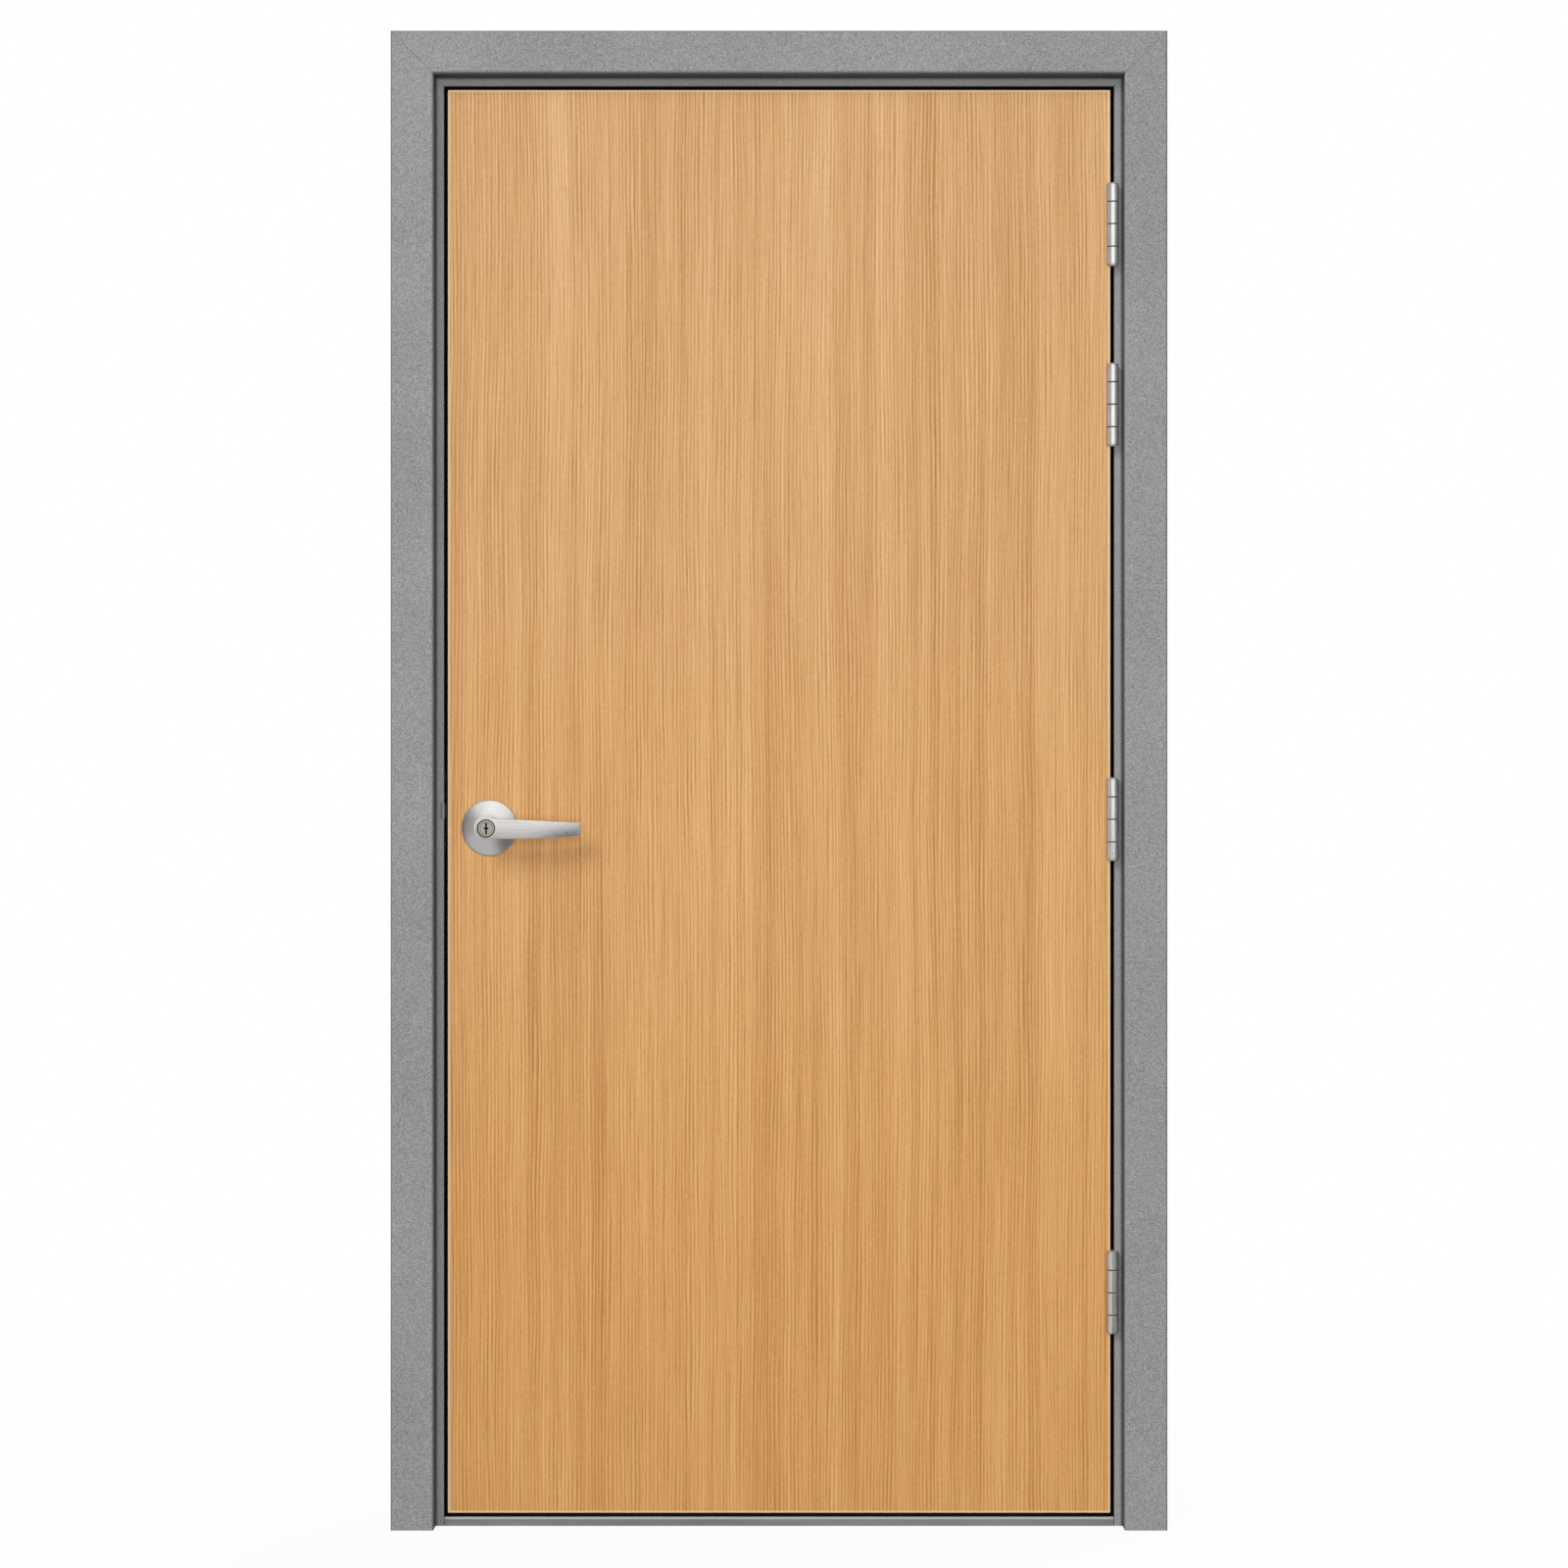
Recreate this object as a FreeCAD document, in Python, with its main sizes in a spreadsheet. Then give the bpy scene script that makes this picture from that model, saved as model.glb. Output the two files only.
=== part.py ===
import FreeCAD, Part
import math
import os
import re
import Sketcher

# Flush utility door in a pressed steel frame. Millimetres, +Z up.
# X runs from the lock side to the hinge side, the pull side faces -Y, and the
# origin lies on the floor under the middle of the sill.

SIZES = {
    # door leaf and the gaps round it
    "leaf_width": 950,
    "leaf_height": 2040,
    "leaf_thick": 44,
    "side_gap": 5,
    "head_gap": 5,
    "sill_gap": 6,
    "lock_bevel": 2.5,
    "skin_thick": 3,
    "stile_width": 35,
    "rail_height": 45,
    "edge_round": 1.5,
    # folded frame section
    "frame_depth": 140,
    "face_width": 61,
    "step_depth": 30,
    "band_width": 12.5,
    "rebate_depth": 47,
    "stop_height": 16,
    "return_depth": 15,
    "sheet_thick": 1.6,
    "bend_radius": 3,
    "mitre_gap": 0.1,
    "fit_gap": 0.3,
    # sill tube and door seals
    "sill_height": 12.5,
    "sill_wall": 2,
    "sill_round": 3,
    "seal_width": 10,
    # butt hinges
    "hinge_length": 114.3,
    "hinge_plate": 3,
    "hinge_depth": 36,
    "barrel_radius": 8.5,
    "barrel_stand": 0.5,
    "end_knuckle": 25,
    "knuckle_gap": 0.8,
    "knuckle_chamfer": 0.6,
    "pin_radius": 4.5,
    "pin_play": 0.05,
    "tip_height": 2.6,
    "tip_lip": 0.9,
    "backing_thick": 6.4,
    "backing_border": 12,
    "hinge_bottom_rise": 336.5,
    "hinge_top_drop": 194.5,
    "hinge_upper_drop": 258,
    "hinge_middle_drop": 593,
    # lever set
    "lever_height": 1000.5,
    "backset": 60,
    "rose_radius": 40,
    "rose_height": 10,
    "rose_edge": 1.5,
    "rose_rim": 2.5,
    "rose_rim_width": 1.2,
    "rose_crown": 100,
    "rose_top_radius": 19,
    "neck_radius": 12,
    "hub_radius": 17.6,
    "hub_setback": 5,
    "lever_stand": 56,
    "lever_length": 133,
    "lever_radius": 15,
    "lever_taper": 0.05,
    "lever_thick": 11,
    "lever_tip_thick": 8,
    "lever_tip_setback": 15,
    "lever_tip_rise": 4,
    "lever_straight": 55,
    "lever_round": 2.2,
    "spindle_side": 8,
    "plug_radius": 11.2,
    "plug_setback": 0.8,
    "plug_recess": 2.5,
    "plug_ring": 1.7,
    "plug_length": 22,
    "core_radius": 8.3,
    "core_seam": 0.6,
    "core_seam_depth": 1.2,
    "keyway_height": 15.8,
    "keyway_width": 2.6,
    "keyway_cross": 6.8,
    "keyway_depth": 9,
    # mortise latch and its strike
    "latch_rise": 24,
    "latch_height": 18,
    "latch_width": 12,
    "latch_play": 1,
    "latch_nose": 0.9,
    "latch_length": 28,
    "case_height": 150,
    "case_depth": 84,
    "case_thick": 15,
    "front_height": 200,
    "front_width": 25,
    "front_thick": 3,
    "strike_height": 120,
    "strike_width": 30,
    "strike_thick": 1.6,
    "guard_depth": 7.5,
    "guard_wall": 2,
    "lip_height": 24,
    "lip_stand": 0.5,
    "lip_radius": 4,
    # wall fixing holes in the soffit
    "fixing_radius": 4.5,
    "fixing_end": 218.5,
    "fixing_setback": 30,
}

# Places worked out from the driving sizes.
PLACES = {
    "leaf_half": "leaf_width / 2",
    "rebate_half": "leaf_half + side_gap",
    "reveal_half": "rebate_half + band_width",
    "frame_half": "reveal_half + face_width",
    "soffit_half": "rebate_half - stop_height",
    "front_y": "0 - frame_depth / 2",
    "rear_y": "frame_depth / 2",
    "band_y": "front_y + step_depth",
    "stop_y": "band_y + rebate_depth",
    "leaf_rear_y": "band_y + leaf_thick",
    "leaf_mid_y": "band_y + leaf_thick / 2",
    "leaf_bottom": "sill_height + sill_gap",
    "leaf_top": "leaf_bottom + leaf_height",
    "rebate_top": "leaf_top + head_gap",
    "soffit_top": "rebate_top - stop_height",
    "frame_top": "rebate_top + band_width + face_width",
    "section_reach": "face_width + band_width + stop_height",
    "axis_x": "leaf_half + side_gap / 2",
    "axis_y": "band_y - barrel_radius - barrel_stand",
    "axis_drop": "barrel_radius + barrel_stand",
    "hinge_top_z": "leaf_top - hinge_top_drop",
    "hinge_upper_z": "hinge_top_z - hinge_upper_drop",
    "hinge_middle_z": "hinge_upper_z - hinge_middle_drop",
    "fixing_spacing": "(frame_top - 2 * fixing_end) / 3",
    "lever_x": "backset - leaf_half",
    "latch_z": "lever_height + latch_rise",
    "bevel_slope": "lock_bevel / leaf_thick",
    "seal_thick": "stop_y - leaf_rear_y - fit_gap",
}

doc = FreeCAD.newDocument("utility_door")
sheet = doc.addObject("Spreadsheet::Sheet", "Sizes")
for row, (alias, value) in enumerate(SIZES.items(), start=1):
    sheet.set(f"A{row}", str(value))
    sheet.setAlias(f"A{row}", alias)
doc.recompute()

sub_parts = []


def bound(text):
    """Write a formula on size and place names as an expression on the sheet."""
    def swap(match):
        word = match.group()
        if word in PLACES:
            return "(" + bound(PLACES[word]) + ")"
        return "Sizes." + word if word in SIZES else word
    return re.sub(r"[a-z_]+", swap, str(text))


def number(text):
    """The present value of a formula."""
    return float(sheet.evalExpression(bound(text)))


def tie(thing, prop, text):
    """Bind one property to a formula."""
    thing.setExpression(prop, bound(text))


def place(thing, x="0", y="0", z="0"):
    """Bind an object's position."""
    for axis, text in zip("xyz", (x, y, z)):
        tie(thing, f"Placement.Base.{axis}", text)


def new_body(label):
    """Start a sub-part."""
    body = doc.addObject("PartDesign::Body", label)
    body.Label = label
    sub_parts.append(body)
    return body


def new_sketch(body, role, lift="0"):
    """A sketch on one of the body's origin planes, lifted along its normal."""
    sketch = body.newObject("Sketcher::SketchObject", body.Label + "_sketch")
    plane = [item for item in body.Origin.OriginFeatures if item.Role == role][0]
    sketch.AttachmentSupport = [(plane, "")]
    sketch.MapMode = "FlatFace"
    tie(sketch, "AttachmentOffset.Base.z", lift)
    return sketch


def arc_between(start, end, radius, turn):
    """The shorter arc from start to end, bulging right (1) or left (-1) of the way."""
    chord = end - start
    half = chord.Length / 2
    rise = radius - math.sqrt(max(radius * radius - half * half, 0))
    side = FreeCAD.Vector(chord.y, -chord.x, 0).normalize() * (turn * rise)
    middle = start + chord / 2 + side
    return Part.Arc(start, middle, end) if turn > 0 else Part.Arc(end, middle, start)


def outline(sketch, corners):
    """Draw a closed outline through (x, y) corners; (x, y, radius, turn) bows to the next."""
    points = [FreeCAD.Vector(number(corner[0]), number(corner[1]), 0) for corner in corners]
    first = len(sketch.Geometry)
    count = len(corners)
    ends = []
    for index, corner in enumerate(corners):
        start = points[index]
        end = points[(index + 1) % count]
        if len(corner) == 2:
            sketch.addGeometry(Part.LineSegment(start, end), False)
            ends.append((1, 2))
            continue
        arc = arc_between(start, end, number(corner[2]), corner[3])
        geometry = sketch.addGeometry(arc, False)
        curve = sketch.Geometry[geometry]
        ends.append((1, 2) if curve.StartPoint.distanceToPoint(start) < 1e-6 else (2, 1))
        radius = sketch.addConstraint(Sketcher.Constraint("Radius", geometry, number(corner[2])))
        tie(sketch, f"Constraints[{radius}]", corner[2])
    for index, corner in enumerate(corners):
        geometry = first + index
        following = (index + 1) % count
        joint = Sketcher.Constraint(
            "Coincident", geometry, ends[index][1], first + following, ends[following][0])
        sketch.addConstraint(joint)
        for kind, text in zip(("DistanceX", "DistanceY"), corner):
            point = Sketcher.Constraint(kind, -1, 1, geometry, ends[index][0], number(text))
            tie(sketch, f"Constraints[{sketch.addConstraint(point)}]", text)


def rectangle(sketch, left, low, right, high):
    """Draw an upright rectangle."""
    outline(sketch, [(left, low), (right, low), (right, high), (left, high)])


def circle(sketch, x, y, radius):
    """Draw a circle."""
    centre = FreeCAD.Vector(number(x), number(y), 0)
    ring = Part.Circle(centre, FreeCAD.Vector(0, 0, 1), number(radius))
    geometry = sketch.addGeometry(ring, False)
    for kind, text in (("DistanceX", x), ("DistanceY", y)):
        point = Sketcher.Constraint(kind, -1, 1, geometry, 3, number(text))
        tie(sketch, f"Constraints[{sketch.addConstraint(point)}]", text)
    wide = sketch.addConstraint(Sketcher.Constraint("Radius", geometry, number(radius)))
    tie(sketch, f"Constraints[{wide}]", radius)


def pad(body, sketch, length, symmetric=False, reverse=False):
    """Push a sketch out into a solid."""
    feature = body.newObject("PartDesign::Pad", body.Label + "_pad")
    feature.Profile = sketch
    feature.SideType = "Symmetric" if symmetric else "One side"
    feature.Reversed = reverse
    tie(feature, "Length", length)
    return feature


def pocket(body, sketch, length, reverse=False, symmetric=False):
    """Cut a sketch into the solid."""
    feature = body.newObject("PartDesign::Pocket", body.Label + "_pocket")
    feature.Profile = sketch
    feature.SideType = "Symmetric" if symmetric else "One side"
    feature.Reversed = reverse
    tie(feature, "Length", length)
    return feature


def revolve(body, sketch, axis):
    """Turn a sketch about one of its own axes, V_Axis or H_Axis."""
    feature = body.newObject("PartDesign::Revolution", body.Label + "_revolution")
    feature.Profile = sketch
    feature.ReferenceAxis = (sketch, [axis])
    feature.Angle = 360
    return feature


def round_edges(body, base, radius, wanted):
    """Round the edges of a feature that a test on their two ends picks out."""
    doc.recompute()
    names = []
    for index, edge in enumerate(base.Shape.Edges, start=1):
        ends = [vertex.Point for vertex in edge.Vertexes]
        if len(ends) == 2 and wanted(ends[0], ends[1]):
            names.append(f"Edge{index}")
    feature = body.newObject("PartDesign::Fillet", body.Label + "_round")
    feature.Base = (base, names)
    tie(feature, "Radius", radius)
    return feature


def near(first, second):
    """Whether two lengths agree."""
    return abs(first - second) < 1e-4


# Frame section. Each corner is (reach in from the outer edge, depth from the pull side).
# The outer skin runs from the pull side return round to the rear return.
SKIN_CORNERS = [
    ("0", "return_depth"),
    ("0", "0"),
    ("face_width", "0"),
    ("face_width", "step_depth"),
    ("face_width + band_width", "step_depth"),
    ("face_width + band_width", "step_depth + rebate_depth"),
    ("section_reach", "step_depth + rebate_depth"),
    ("section_reach", "frame_depth"),
    ("0", "frame_depth"),
    ("0", "frame_depth - return_depth"),
]
# The throat side of the same sheet, one thickness in.
THROAT_CORNERS = [
    ("sheet_thick", "frame_depth - return_depth"),
    ("sheet_thick", "frame_depth - sheet_thick"),
    ("section_reach - sheet_thick", "frame_depth - sheet_thick"),
    ("section_reach - sheet_thick", "step_depth + rebate_depth + sheet_thick"),
    ("face_width + band_width - sheet_thick", "step_depth + rebate_depth + sheet_thick"),
    ("face_width + band_width - sheet_thick", "step_depth + sheet_thick"),
    ("face_width - sheet_thick", "step_depth + sheet_thick"),
    ("face_width - sheet_thick", "sheet_thick"),
    ("sheet_thick", "sheet_thick"),
    ("sheet_thick", "return_depth"),
]
SECTION = SKIN_CORNERS + THROAT_CORNERS
INNER_BEND = "bend_radius - sheet_thick"
# Bends that fold the other way, where the throat side has the larger radius.
REVERSE_BENDS = (3, 5)


def bend_radius_at(index):
    """The radius of one section corner, or None at the cut ends of the sheet."""
    last = len(SECTION) - 1
    if index in (0, 9, 10, last):
        return None
    if index < 10:
        return INNER_BEND if index in REVERSE_BENDS else "bend_radius"
    return "bend_radius" if last - index in REVERSE_BENDS else INNER_BEND


def fold(body, base, spot):
    """Round every bend of a frame member; spot gives a corner's place across the length."""
    feature = base
    for radius in ("bend_radius", INNER_BEND):
        places = [spot(*corner) for index, corner in enumerate(SECTION)
                  if bend_radius_at(index) == radius]

        def on_bend(first, second):
            return any(near(first[a], p) and near(second[a], p) and
                       near(first[b], q) and near(second[b], q)
                       for a, p, b, q in places)
        feature = round_edges(body, feature, radius, on_bend)
    return feature


def mitre_cut(body, side, keep_low):
    """Cut a member at the corner's diagonal, keeping the jamb's or the head's part."""
    sketch = new_sketch(body, "XZ_Plane")
    slack = "mitre_gap / sqrt(2)"
    shift = f"0 - {slack}" if keep_low else slack
    outer_x = f"{side} * (frame_half + bend_radius)"
    inner_x = f"{side} * (frame_half - section_reach - bend_radius)"
    outer_z = f"frame_top + bend_radius + {shift}"
    inner_z = f"frame_top - section_reach - bend_radius + {shift}"
    corner = (inner_x, outer_z) if keep_low else (outer_x, inner_z)
    outline(sketch, [(outer_x, outer_z), (inner_x, inner_z), corner])
    return pocket(body, sketch, "frame_depth * 2", symmetric=True)


def jamb(label, side):
    """One upright of the frame, from the floor to the mitred corner."""
    body = new_body(label)
    sketch = new_sketch(body, "XY_Plane")

    def across(reach, depth):
        return f"{side} * (frame_half - ({reach}))", f"front_y + {depth}"

    def spot(reach, depth):
        x, y = across(reach, depth)
        return 0, number(x), 1, number(y)
    outline(sketch, [across(*corner) for corner in SECTION])
    fold(body, pad(body, sketch, "frame_top"), spot)
    mitre_cut(body, side, True)
    holes = new_sketch(body, "YZ_Plane", f"{side} * (soffit_half - sheet_thick)")
    for step in range(4):
        circle(holes, "rear_y - fixing_setback", f"fixing_end + {step} * fixing_spacing", "fixing_radius")
    pocket(body, holes, "sheet_thick * 4", symmetric=True)
    return body


def head():
    """The top member of the frame, mitred at both ends."""
    body = new_body("frame_head")
    sketch = new_sketch(body, "YZ_Plane")

    def across(reach, depth):
        return f"front_y + {depth}", f"frame_top - ({reach})"

    def spot(reach, depth):
        y, z = across(reach, depth)
        return 1, number(y), 2, number(z)
    outline(sketch, [across(*corner) for corner in SECTION])
    fold(body, pad(body, sketch, "frame_half * 2", symmetric=True), spot)
    for side in (-1, 1):
        mitre_cut(body, side, False)


HINGES = {
    "bottom": "hinge_bottom_rise",
    "middle": "hinge_middle_z",
    "upper": "hinge_upper_z",
    "top": "hinge_top_z",
}


def recess(body, lift, reverse, left, right, centre, height, depth):
    """Cut an upright recess at one height, from a plane across X."""
    sketch = new_sketch(body, "YZ_Plane", lift)
    rectangle(sketch, left, f"{centre} - ({height}) / 2", right, f"{centre} + ({height}) / 2")
    return pocket(body, sketch, depth, reverse=reverse)


def hinge_jamb():
    """The jamb that carries the hinges, with a recessed backing plate behind each."""
    body = jamb("hinge_jamb", 1)
    plates = new_sketch(body, "YZ_Plane", "rebate_half + sheet_thick")
    reach = "band_y + hinge_depth + backing_border"
    for centre in HINGES.values():
        half = "(hinge_length / 2 + backing_border)"
        rectangle(plates, "band_y + sheet_thick", f"{centre} - {half}", reach, f"{centre} + {half}")
    pad(body, plates, "backing_thick")
    for centre in HINGES.values():
        recess(body, "rebate_half + hinge_plate", False, "band_y - bend_radius",
               "band_y + hinge_depth + fit_gap", centre, "hinge_length + 2 * fit_gap",
               "hinge_plate + bend_radius")


def strike_jamb():
    """The jamb that takes the latch, with a backing plate and a closed mortar guard behind the strike."""
    body = jamb("strike_jamb", -1)
    plate = new_sketch(body, "YZ_Plane", "0 - rebate_half - sheet_thick")
    half = "(strike_height / 2 + backing_border)"
    rectangle(plate, "band_y + sheet_thick", f"latch_z - {half}",
              "leaf_mid_y + strike_width / 2 + backing_border", f"latch_z + {half}")
    pad(body, plate, "backing_thick", reverse=True)
    lift = "0 - rebate_half - strike_thick"
    recess(body, lift, True, "leaf_mid_y - strike_width / 2 - fit_gap",
           "leaf_mid_y + strike_width / 2 + fit_gap", "latch_z", "strike_height + 2 * fit_gap",
           "strike_thick + bend_radius")
    recess(body, lift, True, "band_y - bend_radius", "leaf_mid_y", "latch_z",
           "lip_height + 2 * fit_gap", "strike_thick + bend_radius")
    guard = new_sketch(body, "YZ_Plane", "0 - rebate_half - sheet_thick - backing_thick")
    wide = "(latch_width / 2 + latch_play + guard_wall)"
    tall = "(latch_height / 2 + latch_play + guard_wall)"
    rectangle(guard, f"leaf_mid_y - {wide}", f"latch_z - {tall}",
              f"leaf_mid_y + {wide}", f"latch_z + {tall}")
    pad(body, guard, "guard_depth", reverse=True)
    recess(body, "0 - rebate_half - sheet_thick - backing_thick - guard_depth + guard_wall", True,
           "leaf_mid_y - latch_width / 2 - latch_play", "leaf_mid_y + latch_width / 2 + latch_play",
           "latch_z", "latch_height + 2 * latch_play", "backing_thick * 3")


def strike_plate():
    """The strike with its latch hole and the lip that curls over the frame's edge."""
    body = new_body("strike_plate")
    plate = new_sketch(body, "YZ_Plane", "0 - rebate_half")
    front = "leaf_mid_y - strike_width / 2"
    rear = "leaf_mid_y + strike_width / 2"
    low = "latch_z - strike_height / 2"
    high = "latch_z + strike_height / 2"
    lip_front = "band_y - lip_stand"
    outline(plate, [
        (rear, low), (rear, high), (front, high), (front, "latch_z + lip_height / 2"),
        (lip_front, "latch_z + lip_height / 2"), (lip_front, "latch_z - lip_height / 2"),
        (front, "latch_z - lip_height / 2"), (front, low)])
    pad(body, plate, "strike_thick", reverse=True)
    curl = new_sketch(body, "XY_Plane", "latch_z - lip_height / 2")
    edge = "0 - rebate_half"
    outline(curl, [
        (edge, lip_front),
        (f"{edge} - strike_thick", lip_front, "lip_radius - strike_thick", 1),
        (f"{edge} - lip_radius", f"{lip_front} - lip_radius + strike_thick"),
        (f"{edge} - lip_radius", f"{lip_front} - lip_radius", "lip_radius", -1)])
    pad(body, curl, "lip_height")
    recess(body, f"{edge} - strike_thick * 2", True, "leaf_mid_y - latch_width / 2 - latch_play",
           "leaf_mid_y + latch_width / 2 + latch_play", "latch_z", "latch_height + 2 * latch_play",
           "strike_thick * 3")


def sill():
    """The flat tube across the floor, notched round the stops of the jambs."""
    body = new_body("sill")
    section = new_sketch(body, "YZ_Plane")
    rectangle(section, "band_y", "0", "rear_y", "sill_height")
    rectangle(section, "band_y + sill_wall", "sill_wall",
              "rear_y - sill_wall", "sill_height - sill_wall")
    tube = pad(body, section, "2 * (rebate_half - fit_gap)", symmetric=True)
    top = number("sill_height")
    sides = (number("band_y"), number("rear_y"))

    def on_nosing(first, second):
        return (near(first.z, top) and near(second.z, top) and near(first.y, second.y)
                and any(near(first.y, side) for side in sides))
    round_edges(body, tube, "sill_round", on_nosing)
    notch = new_sketch(body, "XY_Plane")
    for side in (-1, 1):
        rectangle(notch, f"{side} * (soffit_half - fit_gap)", "stop_y - fit_gap",
                  f"{side} * (rebate_half + fit_gap)", "rear_y + fit_gap")
    pocket(body, notch, "sill_height * 3", symmetric=True)


def seals():
    """Bulb seals on the stop, two uprights and one across the head."""
    inset = "(stop_height - seal_width) / 2"
    for label, side in (("strike_seal", -1), ("hinge_seal", 1)):
        body = new_body(label)
        sketch = new_sketch(body, "XY_Plane", "sill_height + fit_gap")
        inner = f"{side} * (soffit_half + {inset})"
        outer = f"{side} * (soffit_half + {inset} + seal_width)"
        shoulder = "stop_y - seal_thick / 2"
        outline(sketch, [
            (inner, "stop_y"), (outer, "stop_y"),
            (outer, shoulder, "seal_width", -side),
            (inner, shoulder)])
        pad(body, sketch, f"soffit_top + {inset} - sill_height - 2 * fit_gap")
    body = new_body("head_seal")
    sketch = new_sketch(body, "YZ_Plane")
    low = f"soffit_top + {inset}"
    high = f"soffit_top + {inset} + seal_width"
    outline(sketch, [
        ("stop_y", high), ("stop_y", low),
        ("stop_y - seal_thick / 2", low, "seal_width", -1),
        ("stop_y - seal_thick / 2", high)])
    pad(body, sketch, f"2 * (soffit_half + {inset} + seal_width)", symmetric=True)


def edge_x(depth):
    """The lock edge's X at a depth behind the pull face; it leans back to clear the frame."""
    return f"(bevel_slope * ({depth}) - leaf_half)"


def lock_hole(body):
    """Bore the leaf for the lever spindle and its necks."""
    sketch = new_sketch(body, "XZ_Plane")
    circle(sketch, "lever_x", "lever_height", "neck_radius + fit_gap")
    pocket(body, sketch, "frame_depth * 2", symmetric=True)


def hinge_mortises(body):
    """Let the door plates of the hinges into the leaf's edge."""
    for centre in HINGES.values():
        recess(body, "leaf_half - hinge_plate", True, "band_y - edge_round", "band_y + hinge_depth",
               centre, "hinge_length", "hinge_plate * 2")


def lock_mortise(body):
    """Cut the pocket for the lock case and the recess for its front."""
    case = new_sketch(body, "XY_Plane", "latch_z - case_height / 2 - fit_gap")
    rectangle(case, "0 - leaf_half - front_thick", "leaf_mid_y - case_thick / 2 - fit_gap",
              "case_depth - leaf_half + front_thick + fit_gap", "leaf_mid_y + case_thick / 2 + fit_gap")
    pocket(body, case, "case_height + 2 * fit_gap", reverse=True)
    front = new_sketch(body, "XY_Plane", "latch_z - front_height / 2 - fit_gap")
    near_depth = "(leaf_thick - front_width) / 2 - fit_gap"
    far_depth = "(leaf_thick + front_width) / 2 + fit_gap"
    outline(front, [
        (f"{edge_x(near_depth)} - front_thick", f"band_y + {near_depth}"),
        (f"{edge_x(near_depth)} + front_thick", f"band_y + {near_depth}"),
        (f"{edge_x(far_depth)} + front_thick", f"band_y + {far_depth}"),
        (f"{edge_x(far_depth)} - front_thick", f"band_y + {far_depth}")])
    pocket(body, front, "front_height + 2 * fit_gap", reverse=True)


def leaf_layer(label, near_depth, far_depth, left, right, bottom, top):
    """An upright slab of the leaf between two depths; left or right may be the lock edge."""
    body = new_body(label)
    sketch = new_sketch(body, "XY_Plane", bottom)
    outline(sketch, [
        (left(near_depth), f"band_y + {near_depth}"), (right(near_depth), f"band_y + {near_depth}"),
        (right(far_depth), f"band_y + {far_depth}"), (left(far_depth), f"band_y + {far_depth}")])
    return body, pad(body, sketch, f"{top} - ({bottom})")


def hinge_edge(depth):
    """The hinge edge is square."""
    return "leaf_half"


def leaf():
    """Two face skins over a framed core."""
    rear = "leaf_thick - skin_thick"
    inner_left = "stile_width - leaf_half"
    inner_right = "leaf_half - stile_width"
    for label, near_depth, far_depth in (
            ("front_skin", "0", "skin_thick"), ("rear_skin", rear, "leaf_thick")):
        body, slab = leaf_layer(label, near_depth, far_depth, edge_x, hinge_edge,
                                "leaf_bottom", "leaf_top")
        face = number("band_y" if label == "front_skin" else "leaf_rear_y")

        def on_face(first, second):
            return near(first.y, face) and near(second.y, face)
        round_edges(body, slab, "edge_round", on_face)
        lock_hole(body)
        if label == "front_skin":
            hinge_mortises(body)
    body, slab = leaf_layer("lock_stile", "skin_thick", rear, edge_x, lambda depth: inner_left,
                            "leaf_bottom", "leaf_top")
    lock_mortise(body)
    body, slab = leaf_layer("hinge_stile", "skin_thick", rear, lambda depth: inner_right, hinge_edge,
                            "leaf_bottom", "leaf_top")
    hinge_mortises(body)
    for label, bottom, top in (
            ("bottom_rail", "leaf_bottom", "leaf_bottom + rail_height"),
            ("top_rail", "leaf_top - rail_height", "leaf_top"),
            ("leaf_core", "leaf_bottom + rail_height", "leaf_top - rail_height")):
        body, slab = leaf_layer(label, "skin_thick", rear, lambda depth: inner_left,
                                lambda depth: inner_right, bottom, top)
        if label == "leaf_core":
            lock_hole(body)
            lock_mortise(body)


def knuckle_span(index):
    """Low and high ends of one knuckle about the hinge's middle, counted from the top."""
    half = "hinge_length / 2"
    seam = f"({half} - end_knuckle)"
    return (
        (f"{seam} + knuckle_gap / 2", half),
        ("knuckle_gap / 2", f"{seam} - knuckle_gap / 2"),
        (f"knuckle_gap / 2 - {seam}", "0 - knuckle_gap / 2"),
        (f"0 - {half}", f"0 - {seam} - knuckle_gap / 2"),
    )[index]


def hinge_leaf(label, height, side, knuckles):
    """One plate of a butt hinge with its two knuckles, about the pin's axis."""
    body = new_body(label)
    plate = new_sketch(body, "YZ_Plane", f"{side} * side_gap / 2")
    half = "hinge_length / 2"
    upper_low, upper_high = knuckle_span(knuckles[0])
    lower_low, lower_high = knuckle_span(knuckles[1])
    rear = "axis_drop + hinge_depth"
    corners = [(rear, f"0 - {half}"), (rear, half)]
    if knuckles[0] != 0:
        corners.append(("axis_drop", half))
        corners.append(("axis_drop", upper_high))
    corners += [("0", upper_high), ("0", upper_low), ("axis_drop", upper_low),
                ("axis_drop", lower_high), ("0", lower_high), ("0", lower_low)]
    if knuckles[1] != 3:
        corners.append(("axis_drop", lower_low))
        corners.append(("axis_drop", f"0 - {half}"))
    outline(plate, corners)
    pad(body, plate, "hinge_plate", reverse=side < 0)
    for low, high in (knuckle_span(index) for index in knuckles):
        ring = new_sketch(body, "XZ_Plane")
        outline(ring, [
            ("0", low), ("barrel_radius - knuckle_chamfer", low),
            ("barrel_radius", f"{low} + knuckle_chamfer"),
            ("barrel_radius", f"{high} - knuckle_chamfer"),
            ("barrel_radius - knuckle_chamfer", high), ("0", high)])
        revolve(body, ring, "V_Axis")
    bore = new_sketch(body, "XY_Plane")
    circle(bore, "0", "0", "pin_radius + pin_play")
    pocket(body, bore, "hinge_length * 2", symmetric=True)
    place(body, "axis_x", "axis_y", height)


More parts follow.
